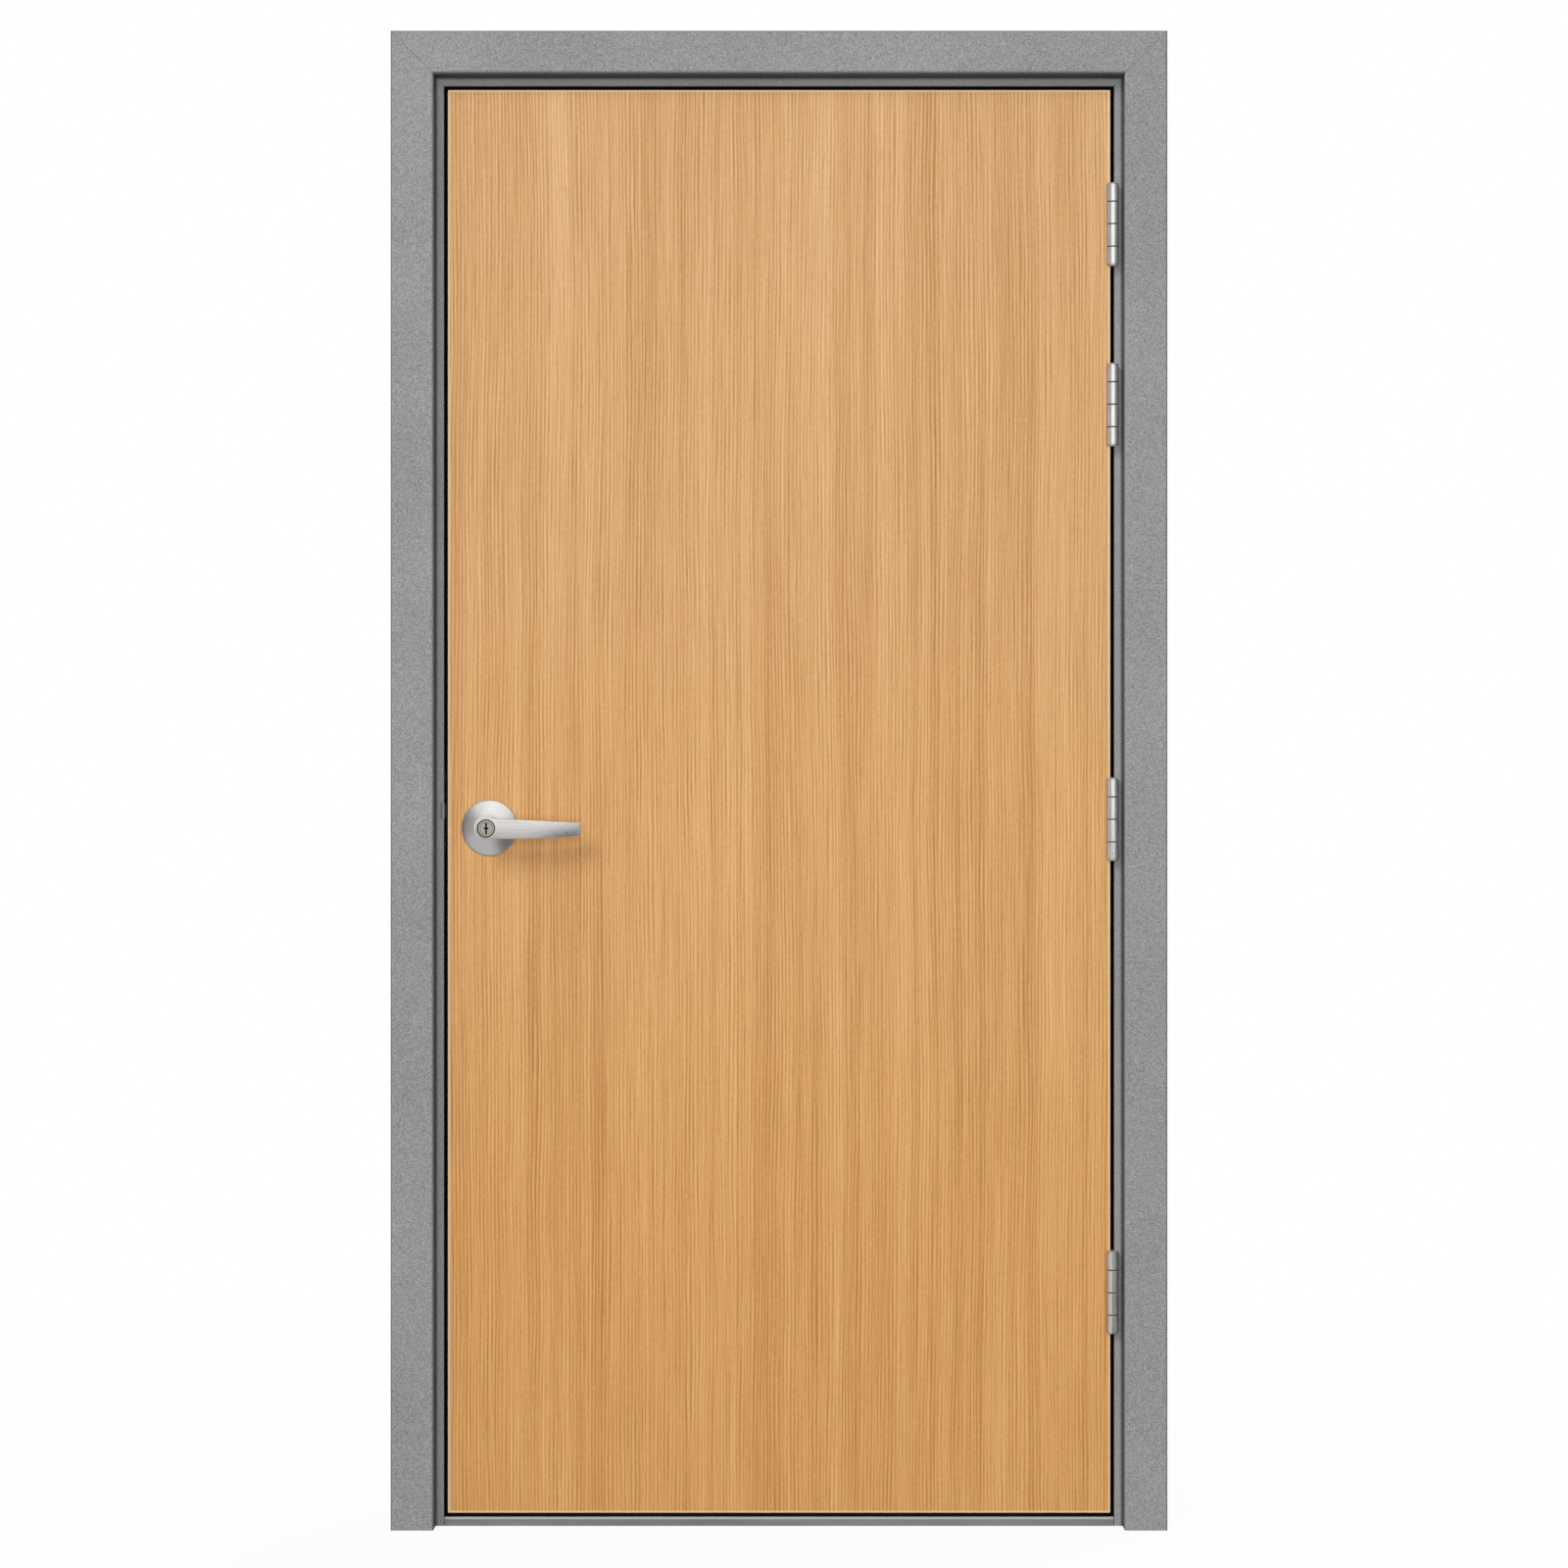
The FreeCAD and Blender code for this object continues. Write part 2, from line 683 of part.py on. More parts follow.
def hinge_pin(label, height):
    """The pin with a domed button at each end."""
    body = new_body(label)
    sketch = new_sketch(body, "XZ_Plane")
    seat = "(hinge_length / 2 + fit_gap)"
    rim = "barrel_radius - knuckle_chamfer"
    rise = "(tip_height - tip_lip)"
    dome = f"(({rim}) * ({rim}) + {rise} * {rise}) / (2 * {rise})"
    outline(sketch, [
        ("0", f"0 - {seat} - tip_height", dome, 1),
        (rim, f"0 - {seat} - tip_lip"), (rim, f"0 - {seat}"), ("pin_radius", f"0 - {seat}"),
        ("pin_radius", seat), (rim, seat), (rim, f"{seat} + tip_lip", dome, 1),
        ("0", f"{seat} + tip_height")])
    revolve(body, sketch, "V_Axis")
    place(body, "axis_x", "axis_y", height)


def hinges():
    """Four butt hinges; the door carries the first and third knuckle of each."""
    for name, height in HINGES.items():
        hinge_leaf(f"{name}_hinge_door_plate", height, -1, (0, 2))
        hinge_leaf(f"{name}_hinge_frame_plate", height, 1, (1, 3))
        hinge_pin(f"{name}_hinge_pin", height)


def rose(label, out, face):
    """A shallow cone with a rim and a bearing hole for the lever's neck."""
    body = new_body(label)
    sketch = new_sketch(body, "XY_Plane")
    bore = "neck_radius + fit_gap"
    outline(sketch, [
        (bore, "0"), ("rose_radius", "0"), ("rose_radius", f"{out} * rose_edge"),
        ("rose_radius - rose_rim_width", f"{out} * rose_rim", "rose_crown", out),
        ("rose_top_radius", f"{out} * rose_height"), (bore, f"{out} * rose_height")])
    revolve(body, sketch, "V_Axis")
    place(body, "lever_x", face, "lever_height")


def bow(run, rise):
    """The radius of an arc that leaves a straight line smoothly and rises off it over a run."""
    return f"(({run}) * ({run}) + ({rise}) * ({rise})) / (2 * ({rise}))"


def lever_arm(body, out):
    """The arm: flat at the hub, bent back towards its tip, rounded at the hub end and tapered."""
    front = f"{out} * lever_stand"
    back = f"{out} * (lever_stand - lever_thick)"
    tip_front = f"{out} * (lever_stand - lever_tip_setback)"
    tip_back = f"{out} * (lever_stand - lever_tip_setback - lever_tip_thick)"
    run = "lever_length - lever_straight"
    back_rise = "lever_tip_setback + lever_tip_thick - lever_thick"
    plan = new_sketch(body, "XY_Plane")
    outline(plan, [
        ("0 - lever_radius", front), ("lever_straight", front, bow(run, "lever_tip_setback"), -out),
        ("lever_length", tip_front), ("lever_length", tip_back, bow(run, back_rise), out),
        ("lever_straight", back), ("0 - lever_radius", back)])
    pad(body, plan, "4 * lever_radius", symmetric=True)
    trim = new_sketch(body, "XZ_Plane")
    beyond = "lever_length + lever_radius"
    clear = "3 * lever_radius"
    rectangle(trim, f"0 - {clear}", f"0 - {clear}", beyond + " * 2", clear)
    lean = "sqrt(1 + lever_taper * lever_taper)"
    outline(trim, [
        ("0", "0 - lever_radius"), ("lever_straight", "0 - lever_radius", bow(run, "lever_tip_rise"), 1),
        ("lever_length", "lever_tip_rise - lever_radius"), (beyond, "lever_tip_rise - lever_radius"),
        (beyond, f"lever_radius * {lean} - lever_taper * ({beyond})"),
        (f"lever_radius * lever_taper / {lean}", f"lever_radius / {lean}", "lever_radius", 1),
        ("0 - lever_radius", "0", "lever_radius", 1)])
    shape = pocket(body, trim, "lever_stand * 4", symmetric=True)
    straight = number("lever_straight")
    heights = {number(text) for text in (front, back, tip_front, tip_back)}

    def on_rim(first, second):
        flat = near(first.x, straight) and near(second.x, straight)
        return not flat and all(any(near(end.y, height) for height in heights) for end in (first, second)) \
            and (near(first.y, second.y) or not near(first.x, second.x))
    round_edges(body, shape, "lever_round", on_rim)


def lever(label, out, face, keyed):
    """A lever handle: the arm, and behind it the turned hub and neck."""
    body = new_body(label)
    lever_arm(body, out)
    hub = new_sketch(body, "XY_Plane")
    foot = f"{out} * (rose_height - rose_rim)"
    bearing = f"{out} * (rose_height + fit_gap)"
    shoulder = f"{out} * (lever_stand - hub_setback)"
    outline(hub, [
        ("0", foot), ("neck_radius", foot), ("neck_radius", bearing), ("hub_radius", bearing),
        ("hub_radius", shoulder), ("0", shoulder)])
    revolve(body, hub, "V_Axis")
    if keyed:
        bore = new_sketch(body, "XZ_Plane", "lever_stand")
        circle(bore, "0", "0", "plug_radius + plug_ring")
        pocket(body, bore, "plug_recess")
        seat = new_sketch(body, "XZ_Plane", "lever_stand")
        circle(seat, "0", "0", "plug_radius + pin_play")
        pocket(body, seat, "plug_length + fit_gap")
    place(body, "lever_x", face, "lever_height")


def key_plug():
    """The round lock plug in the pull side lever, with the seam round its core and its keyway."""
    body = new_body("key_plug")
    disc = new_sketch(body, "XZ_Plane", "lever_stand - plug_length")
    circle(disc, "0", "0", "plug_radius")
    pad(body, disc, "plug_length - plug_setback")
    seam = new_sketch(body, "XZ_Plane", "lever_stand")
    circle(seam, "0", "0", "core_radius + core_seam")
    circle(seam, "0", "0", "core_radius")
    pocket(body, seam, "plug_setback + core_seam_depth")
    slot = new_sketch(body, "XZ_Plane", "lever_stand")
    half = "keyway_width / 2"
    arm = "keyway_cross / 2"
    top = "keyway_height / 2"
    outline(slot, [
        (half, f"0 - {top}"), (half, f"0 - {half}"), (arm, f"0 - {half}"), (arm, half), (half, half),
        (half, top), (f"0 - {half}", top), (f"0 - {half}", half), (f"0 - {arm}", half),
        (f"0 - {arm}", f"0 - {half}"), (f"0 - {half}", f"0 - {half}"), (f"0 - {half}", f"0 - {top}")])
    pocket(body, slot, "keyway_depth")
    place(body, "lever_x", "band_y", "lever_height")


def spindle():
    """The square bar that carries both levers."""
    body = new_body("lever_spindle")
    end = "rose_height - rose_rim"
    sketch = new_sketch(body, "XZ_Plane", f"0 - band_y + {end}")
    half = "spindle_side / 2"
    rectangle(sketch, f"lever_x - {half}", f"lever_height - {half}",
              f"lever_x + {half}", f"lever_height + {half}")
    pad(body, sketch, f"leaf_thick + 2 * ({end})", reverse=True)


def lock_case():
    """The mortise latch case with its front plate let into the lock edge."""
    body = new_body("lock_case")
    near_depth = "(leaf_thick - front_width) / 2"
    far_depth = "(leaf_thick + front_width) / 2"
    front = new_sketch(body, "XY_Plane", "latch_z - front_height / 2")
    outline(front, [
        (edge_x(near_depth), f"band_y + {near_depth}"),
        (f"{edge_x(near_depth)} + front_thick", f"band_y + {near_depth}"),
        (f"{edge_x(far_depth)} + front_thick", f"band_y + {far_depth}"),
        (edge_x(far_depth), f"band_y + {far_depth}")])
    pad(body, front, "front_height")
    case = new_sketch(body, "XY_Plane", "latch_z - case_height / 2")
    case_near = "(leaf_thick - case_thick) / 2"
    case_far = "(leaf_thick + case_thick) / 2"
    outline(case, [
        (f"{edge_x(case_near)} + front_thick", f"band_y + {case_near}"),
        ("case_depth - leaf_half + front_thick", f"band_y + {case_near}"),
        ("case_depth - leaf_half + front_thick", f"band_y + {case_far}"),
        (f"{edge_x(case_far)} + front_thick", f"band_y + {case_far}")])
    pad(body, case, "case_height")
    hub = new_sketch(body, "XZ_Plane")
    circle(hub, "lever_x", "lever_height", "spindle_side")
    pocket(body, hub, "frame_depth * 2", symmetric=True)
    recess(body, "0 - leaf_half", True, "leaf_mid_y - latch_width / 2 - fit_gap",
           "leaf_mid_y + latch_width / 2 + fit_gap", "latch_z", "latch_height + 2 * fit_gap",
           "latch_length + fit_gap")


def latch_bolt():
    """The latch bolt, drawn back flush with the front, bevelled on its closing side."""
    body = new_body("latch_bolt")
    sketch = new_sketch(body, "XY_Plane", "latch_z - latch_height / 2")
    near_y = "leaf_mid_y - latch_width / 2"
    far_y = "leaf_mid_y + latch_width / 2"
    tip = edge_x("leaf_thick / 2")
    rear = "latch_length - leaf_half"
    outline(sketch, [
        (f"{tip} + fit_gap", near_y), (rear, near_y), (rear, far_y),
        (f"{tip} + latch_width", far_y), (f"{tip} + fit_gap", f"{near_y} + latch_nose")])
    pad(body, sketch, "latch_height")


strike_jamb()
hinge_jamb()
head()
sill()
strike_plate()
seals()
leaf()
hinges()
for place_name, out, face in (("outside", -1, "band_y"), ("inside", 1, "leaf_rear_y")):
    rose(f"{place_name}_rose", out, face)
    lever(f"{place_name}_lever", out, face, place_name == "outside")
key_plug()
spindle()
lock_case()
latch_bolt()
doc.recompute()

# Nothing is written unless every object came out sound.
for thing in doc.Objects:
    if "Invalid" in thing.State or "Error" in thing.State:
        raise RuntimeError(f"{thing.Label} failed: {thing.State}")
for body in sub_parts:
    if body.Shape.isNull() or not body.Shape.isValid():
        raise RuntimeError(f"{body.Label} has no valid shape")

os.makedirs("parts", exist_ok=True)
for body in sub_parts:
    body.Shape.exportStep(f"parts/{body.Label}.step")
    box = body.Shape.BoundBox
    print(f"{body.Label}: {len(body.Shape.Solids)} solid, {body.Shape.Volume / 1000:.1f} cm3, "
          f"x {box.XMin:.1f} {box.XMax:.1f}, y {box.YMin:.1f} {box.YMax:.1f}, "
          f"z {box.ZMin:.1f} {box.ZMax:.1f}")
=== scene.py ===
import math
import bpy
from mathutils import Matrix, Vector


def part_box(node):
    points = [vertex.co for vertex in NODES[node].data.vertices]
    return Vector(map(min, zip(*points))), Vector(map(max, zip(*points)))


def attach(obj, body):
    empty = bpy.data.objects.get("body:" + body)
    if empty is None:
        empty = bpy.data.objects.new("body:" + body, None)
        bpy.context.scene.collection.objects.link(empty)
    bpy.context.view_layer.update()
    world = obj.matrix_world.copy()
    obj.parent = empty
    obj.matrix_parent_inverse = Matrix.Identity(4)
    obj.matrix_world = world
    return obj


bl_info = {
    "name": "Flush Utility Door",
    "version": (1, 0, 0),
    "blender": (4, 5, 0),
    "location": "View3D > Sidebar > Utility Door",
    "description": "Finishes, screws and studio for a wood-faced door in a pressed steel frame",
    "category": "Object",
}

import bmesh
import bpy
from bpy.props import FloatProperty, FloatVectorProperty, IntProperty, PointerProperty
from bpy.types import Operator, Panel, PropertyGroup
from mathutils import Matrix, Vector

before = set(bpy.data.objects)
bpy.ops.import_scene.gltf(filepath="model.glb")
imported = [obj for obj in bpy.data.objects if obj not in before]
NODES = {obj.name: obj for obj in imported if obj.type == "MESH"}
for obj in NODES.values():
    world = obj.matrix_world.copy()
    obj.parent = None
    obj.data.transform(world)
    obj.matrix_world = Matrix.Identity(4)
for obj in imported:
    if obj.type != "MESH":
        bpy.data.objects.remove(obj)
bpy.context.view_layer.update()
HINGES = ("bottom", "middle", "upper", "top")
ROSE_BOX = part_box("outside_rose")
LEVER_AXIS = (ROSE_BOX[0] + ROSE_BOX[1]) / 2
WHITE = (1.0, 1.0, 1.0, 1.0)


def colour_property(name, description, default):
    """A linear colour that shows as a swatch."""
    return FloatVectorProperty(
        name=name, description=description, subtype="COLOR", size=3, min=0.0, max=1.0,
        default=default)


def length_property(name, description, default):
    """A length in metres."""
    return FloatProperty(
        name=name, description=description, unit="LENGTH", min=0.0, precision=5, default=default)


def number_property(name, description, default, high):
    """A plain number from 0 up to a limit."""
    return FloatProperty(name=name, description=description, min=0.0, max=high, default=default)


def place_property(name, description, default):
    """A place in the studio."""
    return FloatVectorProperty(
        name=name, description=description, subtype="TRANSLATION", unit="LENGTH", size=3,
        default=default)


class FrameFinish(PropertyGroup):
    """Powder coat on the frame and sill, and the rubber of the seals."""

    coat_colour: colour_property(
        "Coat", "Grey of the crests of the powder coat", (0.446, 0.448, 0.456))
    coat_speck: colour_property(
        "Coat speck", "Grey in the hollows of the coat", (0.199, 0.2, 0.205))
    # Painted shade: the joint round the leaf is painted near black for the shade that falls in it.
    rebate_shade_colour: colour_property(
        "Rebate", "Dark primer in the joint round the leaf", (0.02, 0.018, 0.017))
    sill_colour: colour_property("Sill", "Grey of the sill tube", (0.19, 0.19, 0.194))
    sill_scuff: colour_property(
        "Sill scuff", "Paler grey where shoes polish the sill", (0.27, 0.27, 0.272))
    # Painted highlight: the tread's rounded front edge is painted pale where light catches it.
    tread_highlight_colour: colour_property(
        "Tread edge", "Pale front edge of the sill's tread", (0.52, 0.52, 0.52))
    tread_highlight_height: length_property("Tread edge height", "Height of the pale edge", 0.0034)
    seal_colour: colour_property("Seal", "Black of the seals", (0.006, 0.006, 0.006))
    dimple_width: length_property("Dimple", "Width of one dimple in the powder coat", 0.00257)
    joint_width: length_property("Joint", "Width of the joint round the leaf", 0.005)
    sheet_thick: length_property("Sheet", "Thickness of the frame's sheet steel", 0.0016)
    # Painted shade: this dark grey, with the fold reach and rim width, paints shade into the fold
    # behind the casing, up the reveals and along the casing's outer edge; it also fills the mitres.
    shade_and_mitre_colour: colour_property(
        "Fold", "Dust in the fold between casing and band", (0.028, 0.031, 0.034))
    fold_inset: length_property(
        "Fold inset", "Edge of the leaf to the fold behind the casing", 0.0175)
    fold_reach: length_property("Fold reach", "How far the dust spreads out of the fold", 0.0045)
    casing_width: length_property("Casing", "Width of the casing's face", 0.061)
    rim_width: length_property("Rim", "Width of the line of dust round the casing", 0.0022)
    mitre_width: length_property(
        "Mitre width", "Width of the filled line along the mitres", 0.0012)


class VeneerFinish(PropertyGroup):
    """Straight-grained oak veneer and its lippings."""

    pale_colour: colour_property("Pale grain", "Colour of the early wood", (0.86, 0.565, 0.305))
    mid_colour: colour_property("Mid grain", "Colour between the lines", (0.70, 0.412, 0.193))
    dark_colour: colour_property("Dark grain", "Colour of the late wood", (0.54, 0.29, 0.116))
    line_colour: colour_property(
        "Grain lines", "Colour of the darkest lines", (0.40, 0.195, 0.064))
    pore_colour: colour_property("Pores", "Colour of the open pores", (0.33, 0.15, 0.05))
    # Painted highlight: a pale edge in place of light caught by the faces' eased edges.
    edge_highlight_colour: colour_property("Edge", "Pale worn edge of the faces", (0.9, 0.66, 0.42))
    # A tint that makes the veneer darker and warmer towards the bottom.
    lower_tint: colour_property(
        "Aged tint", "Warm tint of the lacquer low down", (1.0, 0.895, 0.69))
    core_colour: colour_property("Core", "Colour of the core board's chips", (0.5, 0.34, 0.18))
    line_spacing: length_property("Line spacing", "Usual distance between two grain lines", 0.0052)
    line_length: length_property(
        "Line length", "Length over which a grain line keeps its tone", 0.9)
    sway: length_property("Sway", "How far the grain lines wander sideways", 0.012)


class MetalFinish(PropertyGroup):
    """Satin, bright and plated metals."""

    nickel_colour: colour_property("Satin nickel", "Lever and rose", (0.79, 0.775, 0.76))
    hinge_colour: colour_property("Bright steel", "Hinges and their pins", (0.93, 0.92, 0.90))
    latch_colour: colour_property(
        "Latch steel", "Lock front, bolt and spindle", (0.60, 0.60, 0.595))
    strike_colour: colour_property("Strike steel", "Dull strike in the frame", (0.42, 0.42, 0.42))
    plug_colour: colour_property("Plug", "Nickel silver of the key plug", (0.56, 0.52, 0.45))
    screw_colour: colour_property("Screws", "Plated screw heads", (0.58, 0.57, 0.55))
    # Painted shade: a near black painted into the keyway, the seam round the plug and the lever's
    # bore.
    recess_shade_colour: colour_property(
        "Grime", "Oil in the keyway and round the plug", (0.012, 0.010, 0.009))
    # Painted shade: a dark grey painted where hinge barrels turn in, along their seams and round
    # the rose's rim; the seam reach and dulled depth below set how far it goes.
    metal_shade_colour: colour_property(
        "Dulled steel", "Oiled dust on the hinges' inner sides", (0.1, 0.095, 0.09))
    barrel_width: length_property("Barrel", "Width of a hinge's barrel", 0.0175)
    end_knuckle: length_property("End knuckle", "Height of a hinge's end knuckles", 0.025)
    seam_reach: length_property("Seam reach", "How far oil spreads from a knuckle's seam", 0.0013)
    shade_depth: length_property(
        "Dulled depth", "Front of a hinge barrel to where it is fully dulled", 0.0042)
    nickel_roughness: number_property(
        "Nickel roughness", "Spread of the satin reflections", 0.34, 1.0)
    lever_crown: number_property(
        "Lever crown", "How fast a lever's face curves up and down", 6.5, 20.0)


class ScrewSizes(PropertyGroup):
    """Countersunk screws in the hinges, strike and lock front."""

    head_radius: length_property("Head radius", "Radius of a hinge screw's head", 0.0052)
    small_radius: length_property(
        "Small radius", "Radius of a strike or lock front screw's head", 0.0042)
    proud: length_property("Proud", "How far the heads stand out of the plate", 0.00025)
    recess_depth: length_property("Recess depth", "Depth of the cross recess", 0.0016)
    plate_offset: length_property("Plate offset", "Hinge axis to the open face of a plate", 0.0025)
    outer_row: length_property(
        "Outer row", "Rear edge of a hinge plate to its outer screws", 0.0095)
    inner_row: length_property(
        "Inner row", "Rear edge of a hinge plate to its inner screws", 0.0235)
    wide_pitch: length_property("Wide pitch", "Middle of a hinge to its end screws", 0.0435)
    near_pitch: length_property("Near pitch", "Middle of a hinge to its middle screws", 0.0155)
    strike_pitch: length_property("Strike pitch", "Middle of the strike to its screws", 0.048)
    front_inset: length_property("Front inset", "End of the lock front to its screw", 0.012)
    segments: IntProperty(
        name="Segments", description="Corners round a screw head", min=12, max=48, default=24)


class StudioSettings(PropertyGroup):
    """Camera, lamps and floor."""

    camera_place: place_property("Camera", "Where the camera stands", (0.0071, -4.81, 1.0635))
    camera_lens: number_property("Lens", "Focal length in millimetres", 76.4, 500.0)
    key_place: place_property("Key", "Where the key lamp stands", (-6.6, -11.4, 10.0))
    key_power: number_property("Key power", "Power of the key lamp in watts", 1140.0, 5000.0)
    key_size: length_property("Key size", "Width of the key lamp", 6.75)
    fill_place: place_property("Fill", "Where the fill lamp stands", (0.2, -6.0, 1.3))
    fill_power: number_property("Fill power", "Power of the fill lamp in watts", 184.0, 5000.0)
    fill_size: length_property("Fill size", "Width of the fill lamp", 2.4)
    rear_place: place_property("Rear", "Where the lamp behind the door stands", (5.0, 6.5, 5.0))
    rear_power: number_property("Rear power", "Power of the rear lamp in watts", 680.0, 5000.0)
    rear_size: length_property("Rear size", "Width of the rear lamp", 5.0)
    ambient: number_property("Ambient", "Strength of the light from all round", 0.2, 10.0)
    floor_size: length_property("Floor", "Half width of the floor", 14.0)
    floor_bounce: colour_property(
        "Floor bounce", "Grey that the floor throws back up", (0.2, 0.2, 0.2))
    floor_shine: number_property("Floor shine", "How white the floor shows in the metal", 0.5, 1.0)
    floor_shadow: number_property(
        "Floor shadow", "Share of the floor that takes shadow", 0.06, 1.0)
    left_card: number_property(
        "Left card", "Brightness of the card that metal shows on its left", 0.27, 10.0)
    right_card: number_property(
        "Right card", "Brightness of the card that metal shows on its right", 0.34, 10.0)
    top_card: number_property(
        "Top card", "Brightness of the card that metal shows above", 1.45, 10.0)
    floor_card: number_property(
        "Low cards", "Brightness of the dark cards that metal shows below", 0.1, 10.0)
    rim_card: number_property(
        "Rim cards", "Brightness of the strips that rounded rims show", 1.3, 10.0)


class Shade:
    """A shader value that takes part in Python arithmetic by adding Math nodes."""

    def __init__(self, finish, socket):
        self.finish = finish
        self.socket = socket

    def joined(self, operation, first, second):
        """The outcome of one Math node."""
        made = self.finish.node("ShaderNodeMath", {"operation": operation}, {0: first, 1: second})
        return Shade(self.finish, made.outputs[0])

    def __add__(self, other):
        return self.joined("ADD", self, other)

    def __radd__(self, other):
        return self.joined("ADD", other, self)

    def __sub__(self, other):
        return self.joined("SUBTRACT", self, other)

    def __rsub__(self, other):
        return self.joined("SUBTRACT", other, self)

    def __mul__(self, other):
        return self.joined("MULTIPLY", self, other)

    def __rmul__(self, other):
        return self.joined("MULTIPLY", other, self)

    def __pow__(self, other):
        return self.joined("POWER", self, other)


class Finish:
    """The node graph of one finish, on a material or on the world."""

    def __init__(self, owner):
        self.owner = owner
        owner.use_nodes = True
        self.tree = owner.node_tree
        self.tree.nodes.clear()

    def node(self, kind, settings=None, sockets=None):
        """Add a node, with its settings first and then its sockets' values or links."""
        made = self.tree.nodes.new(kind)
        for key, value in (settings or {}).items():
            if key == "stops":
                self.set_stops(made.color_ramp, value)
            else:
                setattr(made, key, value)
        for key, value in (sockets or {}).items():
            if isinstance(value, Shade):
                self.tree.links.new(value.socket, made.inputs[key])
            else:
                made.inputs[key].default_value = value
        return made

    @staticmethod
    def set_stops(ramp, stops):
        """Give a colour ramp its stops."""
        while len(ramp.elements) < len(stops):
            ramp.elements.new(1.0)
        for element, (place, colour) in zip(ramp.elements, stops):
            element.position = place
            element.color = (*colour, 1.0)

    def shade(self, kind, settings=None, sockets=None, output=0):
        """Add a node and take one of its outputs."""
        return Shade(self, self.node(kind, settings, sockets).outputs[output])

    def place(self, scale=(1.0, 1.0, 1.0), centre=(0.0, 0.0, 0.0)):
        """Object coordinates, moved to a centre and stretched."""
        coordinates = self.shade("ShaderNodeTexCoord", output="Object")
        return self.vector("MULTIPLY", self.vector("SUBTRACT", coordinates, centre), scale)

    def vector(self, operation, first, second):
        """Combine two vectors."""
        return self.shade("ShaderNodeVectorMath", {"operation": operation}, {0: first, 1: second})

    def length(self, vector):
        """The length of a vector."""
        return self.shade("ShaderNodeVectorMath", {"operation": "LENGTH"}, {0: vector}, "Value")

    def noise(self, vector, scale=1.0, detail=2.0, roughness=0.5):
        """Soft noise from 0 to 1 about a half."""
        return self.shade(
            "ShaderNodeTexNoise", None,
            {"Vector": vector, "Scale": scale, "Detail": detail, "Roughness": roughness})

    def between(self, value, low, high):
        """Stretch a part of a value's range to 0 to 1, and clip it there."""
        return self.shade("ShaderNodeMapRange", {"clamp": True}, {0: value, 1: low, 2: high})

    def blend(self, factor, first, second, mode="MIX"):
        """Mix two colours."""
        sockets = {0: factor}
        for index, colour in ((6, first), (7, second)):
            sockets[index] = colour if isinstance(colour, Shade) else (*colour, 1.0)
        return self.shade("ShaderNodeMix", {"data_type": "RGBA", "blend_type": mode}, sockets, 2)

    def axis(self, index):
        """One Object coordinate."""
        return self.shade("ShaderNodeSeparateXYZ", None, {0: self.place()}, index)

    def size_of(self, value):
        """A value without its sign."""
        return self.shade("ShaderNodeMath", {"operation": "ABSOLUTE"}, {0: value})

    def larger(self, first, second):
        """The larger of two values."""
        return self.shade("ShaderNodeMath", {"operation": "MAXIMUM"}, {0: first, 1: second})

    def within(self, value, low, high, soft):
        """1 between two limits with soft ends, 0 outside them."""
        return self.between(value, low, low + soft) * self.between(value, high, high - soft)

    def bump(self, height, strength, distance, under=None):
        """A normal that leans with a height, on top of another normal if one is given."""
        sockets = {"Strength": strength, "Distance": distance, "Height": height}
        if under:
            sockets["Normal"] = under
        return self.shade("ShaderNodeBump", None, sockets)

    def surface(self, **sockets):
        """End the graph in a Principled surface."""
        names = {}
        for key, value in sockets.items():
            names[key.replace("_", " ").title().replace("Ior", "IOR")] = value
        made = self.shade("ShaderNodeBsdfPrincipled", None, names)
        self.node("ShaderNodeOutputMaterial", None, {"Surface": made})
        return self.owner


def new_finish(name):
    """Start a finish on a new material."""
    return Finish(bpy.data.materials.new(name))


def dress(material, *names):
    """Put a finish on CAD nodes."""
    for name in names:
        for slot in NODES[name].material_slots:
            slot.material = material


def scaled(colour, factor):
    """A colour made darker or paler."""
    return tuple(factor * part for part in colour)


# Masks of the frame: soft ends in metres, and how the painted shade fades up the reveals.
JOINT_SOFT = 0.0012
SHEET_SOFT = 0.00032
REVEAL_FADE = 0.1
HEAD_FADE_LESS = 0.045
HINGE_FADE_MORE = 0.04
MITRE_CORE = 0.4
RIM_CLEAR = 0.0002
RIM_SOFT = 0.0008


def leaf_margin(finish, inset):
    """Distances from a line set round the leaf: sideways, upwards, and the larger of the two."""
    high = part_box("front_skin")[1]
    side = finish.size_of(finish.axis(0)) - (high.x + inset)
    rise = finish.axis(2) - (high.z + inset)
    return side, rise, finish.larger(side, rise)


def joint_shade_mask(finish, look, setback):
    """1 in the joint round the leaf, from a setback behind its face to the stop, else 0.

    This is where the joint's shade is painted.
    """
    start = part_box("front_skin")[0].y + setback
    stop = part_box("head_seal")[1].y + JOINT_SOFT / 2
    deep = finish.within(finish.axis(1), start, stop, JOINT_SOFT)
    out = leaf_margin(finish, look.joint_width)[2]
    return deep * finish.between(out, look.sheet_thick, look.sheet_thick - SHEET_SOFT)


